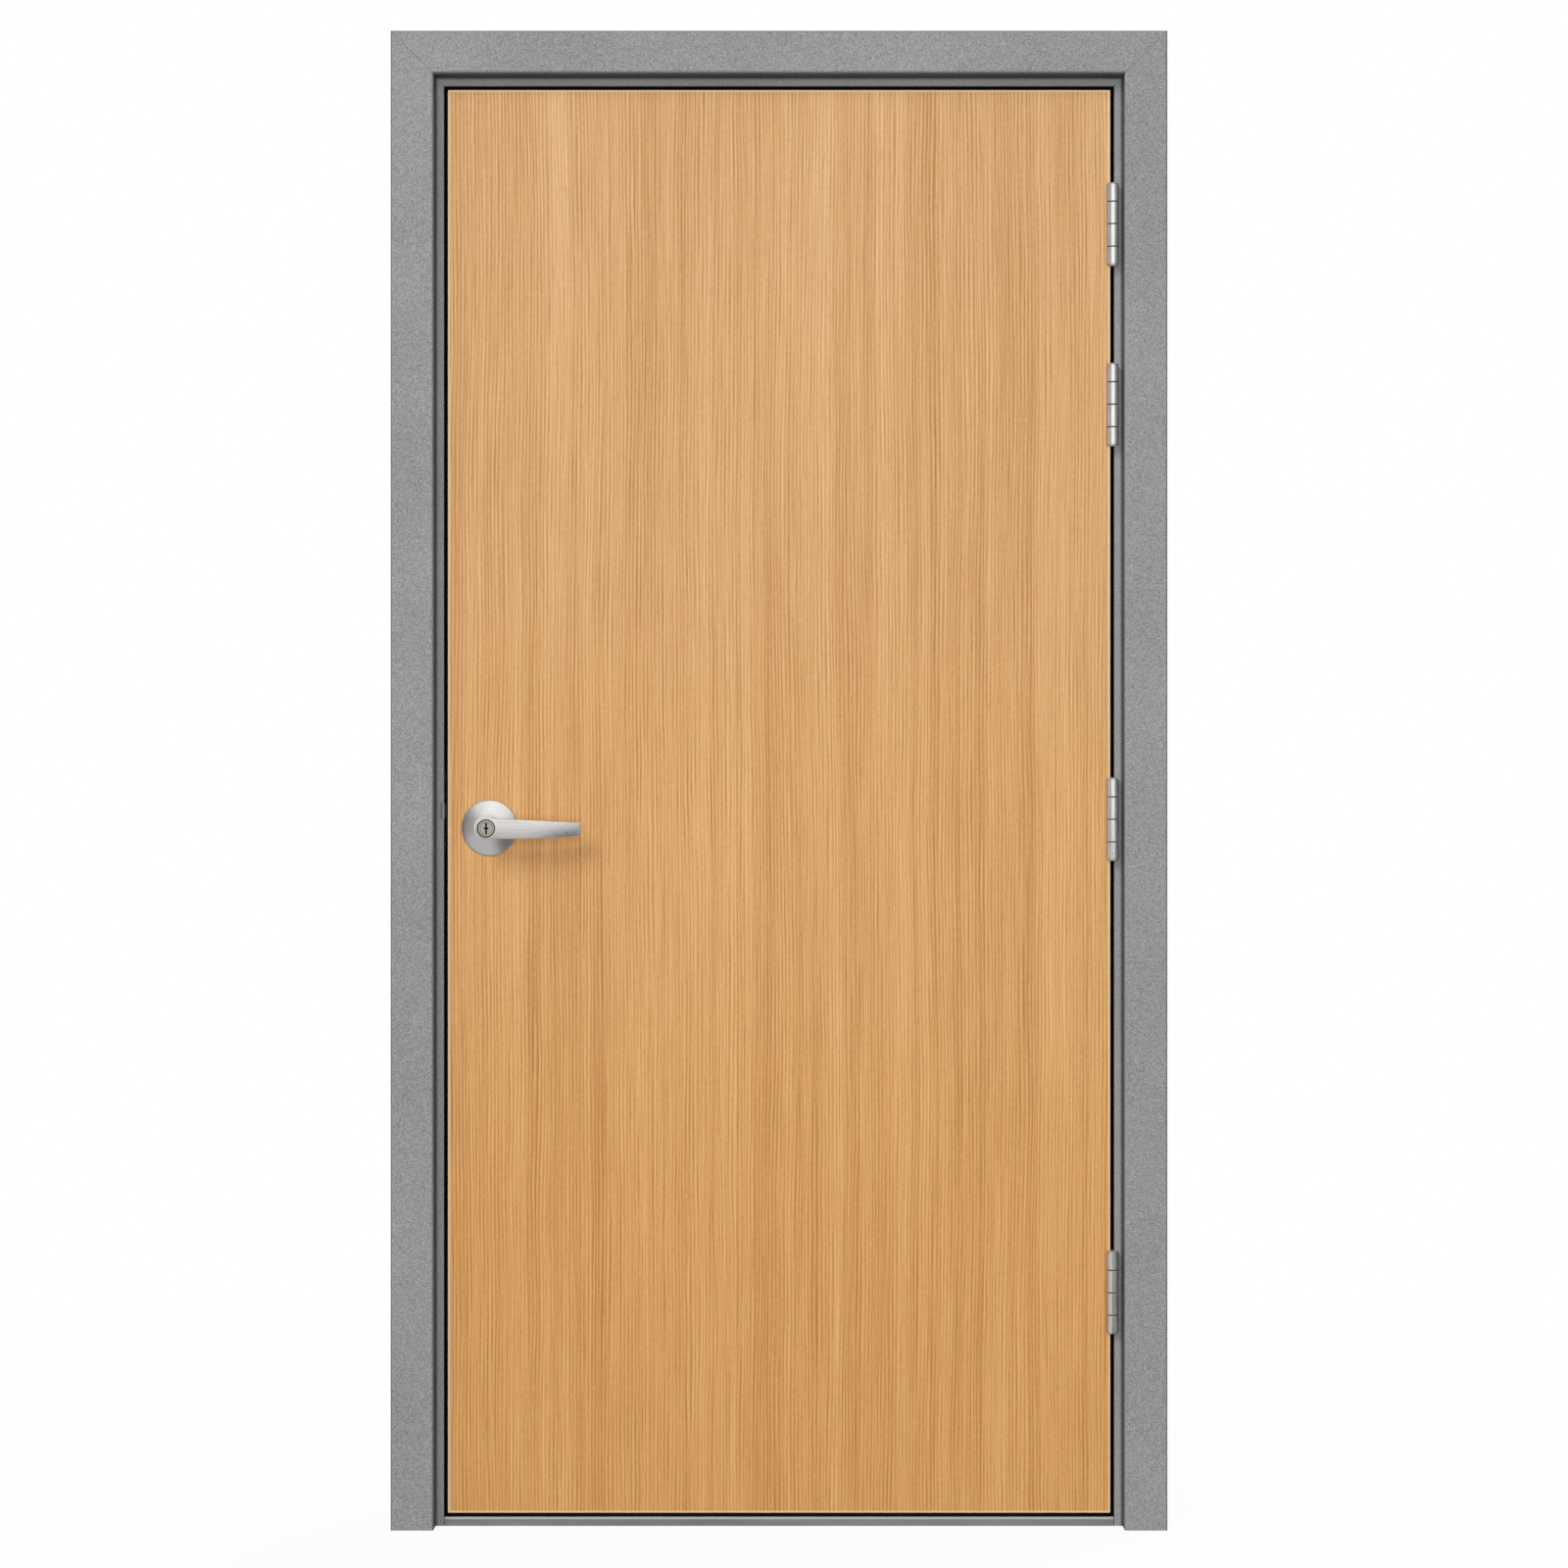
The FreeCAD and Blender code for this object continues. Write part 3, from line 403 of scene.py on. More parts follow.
def shade_and_mitre_masks(finish, look):
    """1 in the fold between casing and band, along the mitres, and where casing meets wall.

    The fold and the casing's outer edge take painted shade; the mitres take a filled line.
    """
    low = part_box("front_skin")[0]
    side, rise, out = leaf_margin(finish, look.fold_inset)
    head = finish.between(rise - side, -look.mitre_width, look.mitre_width)
    hinged = finish.between(finish.axis(0), -look.mitre_width, look.mitre_width)
    fade = REVEAL_FADE - HEAD_FADE_LESS * head + HINGE_FADE_MORE * hinged * (1.0 - head)
    deep = (finish.axis(1) - low.y) * fade
    fold = finish.between((out * out + deep * deep) ** 0.5, look.fold_reach, 0.0)
    mitre = finish.between(
        finish.size_of(side - rise), look.mitre_width, MITRE_CORE * look.mitre_width)
    rim = finish.within(
        out, look.casing_width - look.rim_width, look.casing_width - RIM_CLEAR, RIM_SOFT)
    return fold, mitre, rim


# Powder coat: noise cells to a dimple, shares and ranges of the noises, painted shade and the
# mitres' filled line, and roughness.
PEEL_PITCH = 2.0
GRAIN_PITCH = 4.2
PEEL_SHARE = 0.72
CREST_RANGE = (0.37, 0.63)
GRAIN_RELIEF = 0.3
CLOUD_SCALE = 6.0
CLOUD_RANGE = (0.35, 0.65)
CLOUD_TONE = 0.9
CLOUD_SHARE = 0.1
MITRE_DUST = 0.22
RIM_SHADE = 0.5
FOLD_SHADE = 0.87
COAT_SETBACK = 0.0008
COAT_ROUGHNESS = 0.6
CREST_POLISH = 0.1
COAT_JOINT_ROUGHNESS = 0.35


def powder_coat(look):
    """Textured powder coat, darker in its hollows, with a filled line along the mitres.

    Painted shade darkens its folds and the casing's outer edge, and paints the joint near black.
    """
    finish = new_finish("frame_coat")
    colour, speck, dust_and_shade = tuple(look.coat_colour), tuple(look.coat_speck), tuple(look.shade_and_mitre_colour)
    spot = finish.place()
    peel = finish.noise(spot, PEEL_PITCH / look.dimple_width, detail=1.0)
    grain = finish.noise(spot, GRAIN_PITCH / look.dimple_width, detail=1.0)
    cloud = finish.noise(spot, CLOUD_SCALE, detail=3.0)
    crest = finish.between(peel * PEEL_SHARE + grain * (1.0 - PEEL_SHARE), *CREST_RANGE)
    tone = finish.blend(crest, speck, colour)
    toned = finish.blend(finish.between(cloud, *CLOUD_RANGE), scaled(speck, CLOUD_TONE), colour)
    # Painted shade in the fold and along the casing's outer edge, and the mitres' filled line.
    fold, mitre, rim = shade_and_mitre_masks(finish, look)
    lined = finish.larger(mitre * MITRE_DUST, rim * RIM_SHADE)
    filled = finish.blend(lined, finish.blend(CLOUD_SHARE, tone, toned), dust_and_shade)
    coat = finish.blend(fold * FOLD_SHADE, filled, dust_and_shade)
    # Painted shade: the joint round the leaf is painted near black.
    joint = joint_shade_mask(finish, look, COAT_SETBACK)
    return finish.surface(
        base_color=finish.blend(joint, coat, tuple(look.rebate_shade_colour)),
        roughness=COAT_ROUGHNESS - CREST_POLISH * crest + COAT_JOINT_ROUGHNESS * joint,
        normal=finish.bump(peel + grain * GRAIN_RELIEF, strength=0.8, distance=0.0011),
        specular_ior_level=0.1)


# Sill: scales of its noises, share and range of the scuffs, painted edge highlight, and roughness.
SILL_FINE_SCALE = 520.0
SILL_STREAK_SCALE = (7.0, 60.0, 60.0)
SILL_STREAK_SHARE = 0.75
SCUFF_RANGE = (0.35, 0.7)
TREAD_HIGHLIGHT_CORE = 0.6
TREAD_HIGHLIGHT_SHARE = 0.8
SILL_SETBACK = 0.0035
SILL_ROUGHNESS = 0.5
SCUFF_POLISH = 0.14
SILL_JOINT_ROUGHNESS = 0.45


def sill_coat(look):
    """The sill's smoother coat, polished along the tread.

    A painted highlight lies along the tread's front edge, and painted shade under the leaf.
    """
    finish = new_finish("sill_coat")
    fine = finish.noise(finish.place(), SILL_FINE_SCALE)
    streak = finish.noise(finish.place(SILL_STREAK_SCALE), detail=4.0, roughness=0.6)
    scuffs = streak * SILL_STREAK_SHARE + fine * (1.0 - SILL_STREAK_SHARE)
    worn = finish.between(scuffs, *SCUFF_RANGE)
    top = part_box("sill")[1].z
    # Painted highlight along the tread's front edge.
    edge = finish.between(
        finish.axis(2), top - look.tread_highlight_height, top - TREAD_HIGHLIGHT_CORE * look.tread_highlight_height)
    face = finish.blend(worn, tuple(look.sill_colour), tuple(look.sill_scuff))
    tone = finish.blend(edge * TREAD_HIGHLIGHT_SHARE, face, tuple(look.tread_highlight_colour))
    # Painted shade: the joint under the leaf is painted near black.
    joint = joint_shade_mask(finish, look, SILL_SETBACK)
    return finish.surface(
        base_color=finish.blend(joint, tone, tuple(look.rebate_shade_colour)),
        roughness=SILL_ROUGHNESS - SCUFF_POLISH * worn + SILL_JOINT_ROUGHNESS * joint,
        normal=finish.bump(fine + streak, strength=0.2, distance=0.0003),
        specular_ior_level=0.12)


# Rubber: scales of its bloom and grain, range, share and tone of the bloom, and roughness.
BLOOM_SCALE = (60.0, 60.0, 12.0)
RUBBER_GRAIN_SCALE = 1400.0
BLOOM_RANGE = (0.45, 0.8)
BLOOM_SHARE = 0.5
BLOOM_TONE = 3.0
RUBBER_ROUGHNESS = 0.7
BLOOM_ROUGHNESS = 0.2


def seal_rubber(colour):
    """Matt black rubber with a dusty bloom."""
    finish = new_finish("seal_rubber")
    bloom = finish.noise(finish.place(BLOOM_SCALE), detail=4.0, roughness=0.65)
    fine = finish.noise(finish.place(), RUBBER_GRAIN_SCALE, detail=1.0)
    dusty = finish.between(bloom, *BLOOM_RANGE) * BLOOM_SHARE
    return finish.surface(
        base_color=finish.blend(dusty, colour, scaled(colour, BLOOM_TONE)),
        roughness=RUBBER_ROUGHNESS + BLOOM_ROUGHNESS * bloom,
        normal=finish.bump(fine, strength=0.25, distance=0.0002), specular_ior_level=0.1)


# Sideways sways of the grain: scale across it and along it, noise detail, and share of the sway.
GRAIN_SWAYS = ((3.2, 1.1, 2.0, 2.0), (26.0, 5.0, 1.0, 0.3), (110.0, 24.0, 2.0, 0.15))
# Layers of the grain: cells across it and along it, by the lines' spacing and length.
DEPTH_CELLS = (0.3, 9.0)
FINE_CELLS = (1.7, 6.0)
PORE_CELLS = (3.6, 40.0)
# Other layers: cells to a metre across the grain and along it.
BROAD_SCALE = (8.0, 0.5)
PATCH_SCALE = (24.0, 0.9)
STREAK_SCALE = (60.0, 0.45)
FLECK_SCALE = (500.0, 160.0)
# Growth rings: stretch along the grain, and the range of the noise that fades them in and out.
RING_STRETCH = 0.03
RING_DEPTH_RANGE = (0.25, 0.7)
# Share of each layer in the grain's tone, and the tones of the four colours from dark to pale.
BASE_TONE = 0.122
RING_TONE = 0.18
FINE_TONE = 0.2
FLECK_TONE = 0.1
STREAK_TONE = 0.17
PATCH_TONE = 0.1
BROAD_TONE = 0.06
TONE_STOPS = (0.25, 0.36, 0.45, 0.59)
# Pores, the heights of the warmer, darker veneer low down, the painted edge highlight, roughness.
PORE_RANGE = (0.62, 0.76)
PORE_TONE = 0.35
TINT_BELOW_TOP = 0.22
TINT_ABOVE_FOOT = 0.42
HIGHLIGHT_FROM = 0.0042
HIGHLIGHT_TO = 0.0016
HIGHLIGHT_SHARE = 0.9
OAK_ROUGHNESS = 0.56
PALE_POLISH = 0.12
PORE_ROUGHNESS = 0.18
RING_RELIEF = 0.4
FINE_RELIEF = 0.5
PORE_RELIEF = 0.9


def oak_grain(name, wood, along, offset, faced=None):
    """Straight-grained oak along an axis; offset shifts it and faced names a veneered node.

    A veneered node's edges get a painted highlight.
    """
    finish = new_finish(name)
    run = "XYZ".index(along)
    across = 2 if run == 0 else 0
    centre = (offset, 0.0, offset)

    def by_line(cells):
        return 2.0 * cells[0] / wood.line_spacing, cells[1] / wood.line_length

    def stretched(wide, long):
        scale = [wide, wide, wide]
        scale[run] = long
        return tuple(scale)

    def drift(wide, long, detail):
        return finish.noise(finish.place(stretched(wide, long), centre), detail=detail)

    sway = sum(
        (drift(wide, long, detail) - 0.5) * (share * wood.sway)
        for wide, long, detail, share in GRAIN_SWAYS)
    shift = [0.0, 0.0, 0.0]
    shift[across] = 1.0
    slide = finish.shade(
        "ShaderNodeVectorMath", {"operation": "SCALE"}, {0: tuple(shift), "Scale": sway})
    moved = finish.vector("ADD", finish.place(centre=centre), slide)

    def lines(wide, long, detail):
        drawn = finish.vector("MULTIPLY", moved, stretched(wide, long))
        return finish.noise(drawn, detail=detail, roughness=0.55)

    rings = finish.shade(
        "ShaderNodeTexWave", {"bands_direction": "XYZ"[across]}, {
            "Vector": finish.vector("MULTIPLY", moved, stretched(1.0, RING_STRETCH)),
            "Scale": math.pi / (10.0 * wood.line_spacing), "Distortion": 6.0, "Detail": 2.0,
            "Detail Scale": 0.7}, 1)
    depth = lines(*by_line(DEPTH_CELLS), detail=1.0)
    fine = lines(*by_line(FINE_CELLS), detail=1.0)
    pores = lines(*by_line(PORE_CELLS), detail=1.0)
    broad = drift(*BROAD_SCALE, detail=2.0)
    patch = drift(*PATCH_SCALE, detail=2.0)
    streak = lines(*STREAK_SCALE, detail=2.0)
    fleck = lines(*FLECK_SCALE, detail=1.0)
    tone = (
        BASE_TONE + (rings - 0.5) * finish.between(depth, *RING_DEPTH_RANGE) * RING_TONE
        + fine * FINE_TONE + fleck * FLECK_TONE + streak * STREAK_TONE
        + patch * PATCH_TONE + broad * BROAD_TONE)
    colours = (wood.line_colour, wood.dark_colour, wood.mid_colour, wood.pale_colour)
    stops = tuple((stop, tuple(colour)) for stop, colour in zip(TONE_STOPS, colours))
    lit = finish.shade("ShaderNodeValToRGB", {"stops": stops}, {0: tone})
    open_pore = finish.between(pores, *PORE_RANGE)
    pored = finish.blend(open_pore * PORE_TONE, lit, tuple(wood.pore_colour))
    low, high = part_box("front_skin")
    # The veneer grows darker and warmer towards the bottom.
    toned = finish.between(finish.axis(2), high.z - TINT_BELOW_TOP, low.z + TINT_ABOVE_FOOT)
    shown = finish.blend(toned, pored, tuple(wood.lower_tint), "MULTIPLY")
    # Painted highlight along the eased edges of a veneered face.
    if faced:
        low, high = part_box(faced)
        middle = (low + high) / 2
        for index in (0, 2):
            out = finish.size_of(finish.axis(index) - middle[index])
            half = high[index] - middle[index]
            edge = finish.between(out, half - HIGHLIGHT_FROM, half - HIGHLIGHT_TO)
            shown = finish.blend(edge * HIGHLIGHT_SHARE, shown, tuple(wood.edge_highlight_colour))
    height = rings * RING_RELIEF + fine * FINE_RELIEF - open_pore * PORE_RELIEF
    return finish.surface(
        base_color=shown, roughness=OAK_ROUGHNESS - PALE_POLISH * tone + PORE_ROUGHNESS * open_pore,
        normal=finish.bump(height, strength=0.22, distance=0.00025), specular_ior_level=0.22)


# Core board: chips to a metre, tones of the darkest and palest chip, and roughness.
CHIP_SCALE = 260.0
CHIP_TONES = (0.65, 1.2)
CHIP_ROUGHNESS = 0.8
CHIP_POLISH = 0.1


def core_board(colour):
    """Pressed chips of the hidden core."""
    finish = new_finish("core_board")
    chips = finish.shade(
        "ShaderNodeTexVoronoi", None, {"Vector": finish.place(), "Scale": CHIP_SCALE}, "Color")
    grey = finish.shade("ShaderNodeSeparateColor", None, {0: chips}, 0)
    return finish.surface(
        base_color=finish.blend(grey, *(scaled(colour, share) for share in CHIP_TONES)),
        roughness=CHIP_ROUGHNESS - CHIP_POLISH * grey,
        normal=finish.bump(grey, strength=0.4, distance=0.0004))


def axis_radius(finish):
    """Distance from the lever's axis."""
    return finish.length(finish.place((1.0, 0.0, 1.0), LEVER_AXIS))


# Painted shade in recesses: depths below a face between which it sets in, and its soft end.
SHADE_DEPTHS = (0.0003, 0.001)
SHADE_SOFT = 0.0002


def recess_shade_mask(finish, node, radius=None):
    """1 below a node's front face, within a radius of the lever's axis if one is given.

    This is where painted shade goes into recesses.
    """
    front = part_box(node)[0].y
    deep = finish.between(finish.axis(1), *(front + depth for depth in SHADE_DEPTHS))
    if radius is None:
        return deep
    return deep * finish.between(axis_radius(finish), radius + SHADE_SOFT, radius)


# Metal: share and range of the marks against the smears, their tones, and roughness.
MARK_SHARE = 0.65
MARK_RANGE = (0.25, 0.75)
MARK_TONES = (0.82, 1.15)
MARK_POLISH = 0.08
MARK_ROUGHNESS = 0.14
SMEAR_ROUGHNESS = 0.05
SHADE_ROUGHNESS = 0.4
PLUG_ROUGHNESS = 0.38
SCREW_ROUGHNESS = 0.36
LATCH_ROUGHNESS = 0.3
STRIKE_ROUGHNESS = 0.45
# Smears to a metre on large pieces and on the plug.
SMEAR_SCALE = 32.0
PLUG_SMEAR_SCALE = 420.0


def metal(
        finish, colour, roughness, marks, bump, painted_shade=None, mask=None, smears=SMEAR_SCALE,
        under=None):
    """Finish satin metal from its marks, with a few smears and painted shade where a mask says."""
    smear = finish.noise(finish.place((smears, smears, smears)), detail=3.0)
    mottle = finish.between(marks * MARK_SHARE + smear * (1.0 - MARK_SHARE), *MARK_RANGE)
    tone = finish.blend(mottle, *(scaled(colour, share) for share in MARK_TONES))
    rough = roughness - MARK_POLISH + MARK_ROUGHNESS * marks + SMEAR_ROUGHNESS * smear
    shine = 1.0
    if mask:
        tone = finish.blend(mask, tone, painted_shade)
        rough = rough + SHADE_ROUGHNESS * mask
        shine = 1.0 - mask
    return finish.surface(
        base_color=tone, metallic=shine, roughness=rough,
        normal=finish.bump(marks, strength=bump, distance=0.0002, under=under))


# Marks to a metre along each axis for brushed, lever, hinge and screw metal, and for a lathe.
LATCH_STROKE = (700.0, 700.0, 40.0)
LEVER_STROKE = (14.0, 440.0, 440.0)
HINGE_STROKE = (500.0, 500.0, 60.0)
SCREW_STROKE = (900.0, 900.0, 900.0)
LATHE_MARKS = 2400.0


def brush_marks(finish, stroke, centre=(0.0, 0.0, 0.0)):
    """Fine marks, stretched along the stroke that made them."""
    return finish.noise(finish.place(stroke, centre), detail=4.0, roughness=0.65)


def lathe_marks(finish):
    """The concentric marks of a lathe about the lever's axis."""
    return finish.shade(
        "ShaderNodeTexNoise", {"noise_dimensions": "1D"},
        {"W": axis_radius(finish) * LATHE_MARKS, "Scale": 1.0, "Detail": 3.0})


def brushed_metal(name, colour, roughness, stroke):
    """Satin metal brushed along one direction; stroke stretches the marks."""
    finish = new_finish(name)
    marks = brush_marks(finish, stroke, LEVER_AXIS)
    return metal(finish, colour, roughness, marks, bump=0.12)


def lever_metal(name, look, reach=None):
    """Nickel brushed along a lever with a crowned face; reach is the keyed hub's radius."""
    finish = new_finish(name)
    marks = brush_marks(finish, LEVER_STROKE, LEVER_AXIS)
    rise = finish.axis(2) - LEVER_AXIS.z
    crown = finish.bump(rise * rise * -look.lever_crown, strength=1.0, distance=1.0)
    # Painted shade in the keyed hub's bore.
    mask = recess_shade_mask(finish, "outside_lever", reach) if reach else None
    return metal(
        finish, tuple(look.nickel_colour), look.nickel_roughness, marks, bump=0.2,
        painted_shade=tuple(look.recess_shade_colour), mask=mask, under=crown)


# Hinges: where the painted shade sets in, how much of it shows in front and on the inner flank,
# the solid parts of barrel, seam and wear as shares of their widths, and roughness.
SHADE_START = 0.0008
SHADE_FRONT = 0.02
SHADE_FLANK = 0.62
BARREL_CORE = 0.9
SEAM_CORE = 0.5
WEAR_START = 0.25
HINGE_ROUGHNESS = 0.2
WEAR_ROUGHNESS = 0.32


def hinge_metal(look, name):
    """Bright steel of one hinge, with painted shade where the barrel turns in and on its seams."""
    finish = new_finish(f"{name}_hinge_steel")
    low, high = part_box(f"{name}_hinge_door_plate")
    middle = (low.z + high.z) / 2
    height = finish.size_of(finish.axis(2) - middle)
    pin_low, pin_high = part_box(f"{name}_hinge_pin")
    turned = finish.axis(0) - (pin_low.x + pin_high.x) / 2
    back = finish.axis(1) - low.y
    barrel = finish.between(back, look.barrel_width, BARREL_CORE * look.barrel_width)
    flank = finish.between(turned, look.shade_depth, -look.shade_depth)
    inward = finish.between(back, SHADE_START, look.shade_depth)
    # Painted shade on the barrel's inner flank, and below along the knuckle seams.
    hinge_shade = inward * (SHADE_FRONT + SHADE_FLANK * flank)
    for seam in (0.0, high.z - middle - look.end_knuckle):
        away = finish.size_of(height - seam)
        near = finish.between(away, look.seam_reach, SEAM_CORE * look.seam_reach)
        hinge_shade = finish.larger(hinge_shade, near)
    worn = finish.between(turned, WEAR_START * look.shade_depth, look.shade_depth) * barrel
    return metal(
        finish, tuple(look.hinge_colour), HINGE_ROUGHNESS + WEAR_ROUGHNESS * worn,
        brush_marks(finish, HINGE_STROKE), bump=0.05, painted_shade=tuple(look.metal_shade_colour),
        mask=hinge_shade * barrel)


# Rose: distances from its rim between which the painted shade sets in, and the shade's share.
ROSE_SHADE_FROM = 0.0011
ROSE_SHADE_TO = 0.0003
ROSE_SHADE_SHARE = 0.8


def rose_metal(look):
    """Turned nickel with painted shade along the edge that lies on the leaf."""
    finish = new_finish("rose_nickel")
    rim = (ROSE_BOX[1].x - ROSE_BOX[0].x) / 2
    # Painted shade round the rose's rim where it lies on the leaf.
    dust_and_shade = finish.between(axis_radius(finish), rim - ROSE_SHADE_FROM, rim - ROSE_SHADE_TO)
    return metal(
        finish, tuple(look.nickel_colour), look.nickel_roughness, lathe_marks(finish), bump=0.2,
        painted_shade=tuple(look.metal_shade_colour), mask=dust_and_shade * ROSE_SHADE_SHARE)


def plug_metal(look):
    """Turned nickel silver, blotched by keys, with painted shade in the keyway and the seam."""
    finish = new_finish("plug_nickel")
    return metal(
        finish, tuple(look.plug_colour), PLUG_ROUGHNESS, lathe_marks(finish), bump=0.2,
        painted_shade=tuple(look.recess_shade_colour), mask=recess_shade_mask(finish, "key_plug"),
        smears=PLUG_SMEAR_SCALE)


def new_piece(name, mesh, material):
    """Turn a bmesh into an object of the scene with one material."""
    data = bpy.data.meshes.new(name)
    mesh.to_mesh(data)
    mesh.free()
    data.materials.append(material)
    piece = bpy.data.objects.new(name, data)
    bpy.context.scene.collection.objects.link(piece)
    return piece


# Screws: the recess's half width as a share of the radius, how much wider it is at the top, and
# the rings of the head's edge as shares of the radius and of the height it stands proud.
RECESS_SHARE = 0.44
RECESS_CORNER = 0.95
RECESS_SPREAD = 1.28
HEAD_RINGS = ((1.045, 0.4), (1.0, 2.0))


def extruded(mesh, edges):
    """Extrude a loop of edges and return the new loop's corners and edges."""
    made = bmesh.ops.extrude_edge_only(mesh, edges=edges)["geom"]
    corners = [item for item in made if isinstance(item, bmesh.types.BMVert)]
    loop = [item for item in made if isinstance(item, bmesh.types.BMEdge)
            and all(vert in corners for vert in item.verts)]
    return corners, loop


def screw_head(mesh, place, radius, sizes):
    """A countersunk head with a cross recess, its face along the place's Z axis."""
    top = sizes.proud
    before = set(mesh.verts)
    recess = bmesh.ops.create_grid(
        mesh, x_segments=3, y_segments=3, size=RECESS_SHARE * radius)["verts"]
    faces = list(dict.fromkeys(face for vert in recess for face in vert.link_faces))
    reach = RECESS_CORNER * max(face.calc_center_median().length for face in faces)
    corners = [face for face in faces if face.calc_center_median().length > reach]
    bmesh.ops.delete(mesh, geom=corners, context="FACES")
    pit = [vert for vert in mesh.verts if vert not in before]
    bmesh.ops.translate(mesh, verts=pit, vec=(0.0, 0.0, top - sizes.recess_depth))
    outline = dict.fromkeys(edge for vert in pit for edge in vert.link_edges if edge.is_boundary)
    lip, lip_edges = extruded(mesh, list(outline))
    bmesh.ops.translate(mesh, verts=lip, vec=(0.0, 0.0, sizes.recess_depth))
    bmesh.ops.scale(mesh, verts=lip, vec=(RECESS_SPREAD, RECESS_SPREAD, 1.0))
    rim = bmesh.ops.create_circle(
        mesh, cap_ends=False, radius=radius, segments=sizes.segments)["verts"]
    bmesh.ops.translate(mesh, verts=rim, vec=(0.0, 0.0, top))
    loop = list(dict.fromkeys(edge for vert in rim for edge in vert.link_edges))
    bmesh.ops.bridge_loops(mesh, edges=lip_edges + loop)
    for spread, drop in HEAD_RINGS:
        ring, loop = extruded(mesh, loop)
        bmesh.ops.scale(mesh, verts=ring, vec=(spread, spread, 1.0))
        bmesh.ops.translate(mesh, verts=ring, vec=(0.0, 0.0, -drop * top))
    made = [vert for vert in mesh.verts if vert not in before]
    faces = dict.fromkeys(face for vert in made for face in vert.link_faces)
    bmesh.ops.recalc_face_normals(mesh, faces=list(faces))
    bmesh.ops.transform(mesh, verts=made, matrix=place)


def facing(point, normal, turn):
    """A placement at a point whose Z axis is a normal, turned about it."""
    aim = Vector(normal).to_track_quat("Z", "Y").to_matrix().to_4x4()
    return Matrix.Translation(point) @ aim @ Matrix.Rotation(turn, 4, "Z")


def screw_set(name, places, radius, material, body):
    """One object with a screw head at each place."""
    sizes = bpy.context.scene.door_screws
    mesh = bmesh.new()
    for place in places:
        screw_head(mesh, place, radius, sizes)
    piece = new_piece(name, mesh, material)
    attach(piece, body)


def screw_metal():
    """Plated screws, shared by every set."""
    found = bpy.data.materials.get("screw_plate")
    if found:
        return found
    colour = tuple(bpy.context.scene.door_metal.screw_colour)
    return brushed_metal("screw_plate", colour, SCREW_ROUGHNESS, SCREW_STROKE)


class UTILITY_DOOR_OT_coat_frame(Operator):
    """Powder coat the frame and sill, and blacken the seals"""

    bl_idname = "utility_door.coat_frame"
    bl_label = "Coat Frame"

    def execute(self, context):
        look = context.scene.door_frame
        dress(powder_coat(look), "strike_jamb", "hinge_jamb", "frame_head")
        dress(sill_coat(look), "sill")
        dress(seal_rubber(tuple(look.seal_colour)), "strike_seal", "hinge_seal", "head_seal")
        return {"FINISHED"}


# Where each piece's grain is cut from, so that no two match.
FRONT_CUT = 0.37
REAR_CUT = 5.21
STILE_CUT = 9.43
RAIL_CUT = 7.85


class UTILITY_DOOR_OT_veneer_leaf(Operator):
    """Lay oak veneer on the leaf's faces and lippings on its edges"""

    bl_idname = "utility_door.veneer_leaf"
    bl_label = "Veneer Leaf"

    def execute(self, context):
        wood = context.scene.door_veneer
        dress(oak_grain("front_veneer", wood, "Z", FRONT_CUT, "front_skin"), "front_skin")
        dress(oak_grain("rear_veneer", wood, "Z", REAR_CUT, "rear_skin"), "rear_skin")
        dress(oak_grain("stile_lipping", wood, "Z", STILE_CUT), "lock_stile", "hinge_stile")
        dress(oak_grain("rail_lipping", wood, "X", RAIL_CUT), "bottom_rail", "top_rail")
        dress(core_board(tuple(wood.core_colour)), "leaf_core")
        return {"FINISHED"}


class UTILITY_DOOR_OT_finish_hinges(Operator):
    """Brighten the butt hinges and their pins"""

    bl_idname = "utility_door.finish_hinges"
    bl_label = "Finish Hinges"

    def execute(self, context):
        look = context.scene.door_metal
        for name in HINGES:
            steel = hinge_metal(look, name)
            for part in ("door_plate", "frame_plate", "pin"):
                dress(steel, f"{name}_hinge_{part}")
        return {"FINISHED"}


# Radius of the keyed lever's hub within which painted shade darkens its bore.
HUB_REACH = 0.013


class UTILITY_DOOR_OT_finish_lever_set(Operator):
    """Give the lever set, key plug, latch and strike their metals"""

    bl_idname = "utility_door.finish_lever_set"
    bl_label = "Finish Lever Set"

    def execute(self, context):
        look = context.scene.door_metal
        dress(lever_metal("keyed_lever_nickel", look, HUB_REACH), "outside_lever")
        dress(lever_metal("plain_lever_nickel", look), "inside_lever")
        dress(rose_metal(look), "outside_rose", "inside_rose")
        dress(plug_metal(look), "key_plug")
        steel = brushed_metal(
            "latch_steel", tuple(look.latch_colour), LATCH_ROUGHNESS, LATCH_STROKE)
        dress(steel, "lock_case", "latch_bolt", "lever_spindle")
        worn = brushed_metal(
            "strike_steel", tuple(look.strike_colour), STRIKE_ROUGHNESS, LATCH_STROKE)
        dress(worn, "strike_plate")
        return {"FINISHED"}


# Turns of the screws' recesses in radians: from hinge to hinge, from row to row, and one by one.
HINGE_TURN = 0.7
ROW_TURN = 1.9
STRIKE_TURN = 0.6
FRONT_TURNS = (0.3, 1.1)


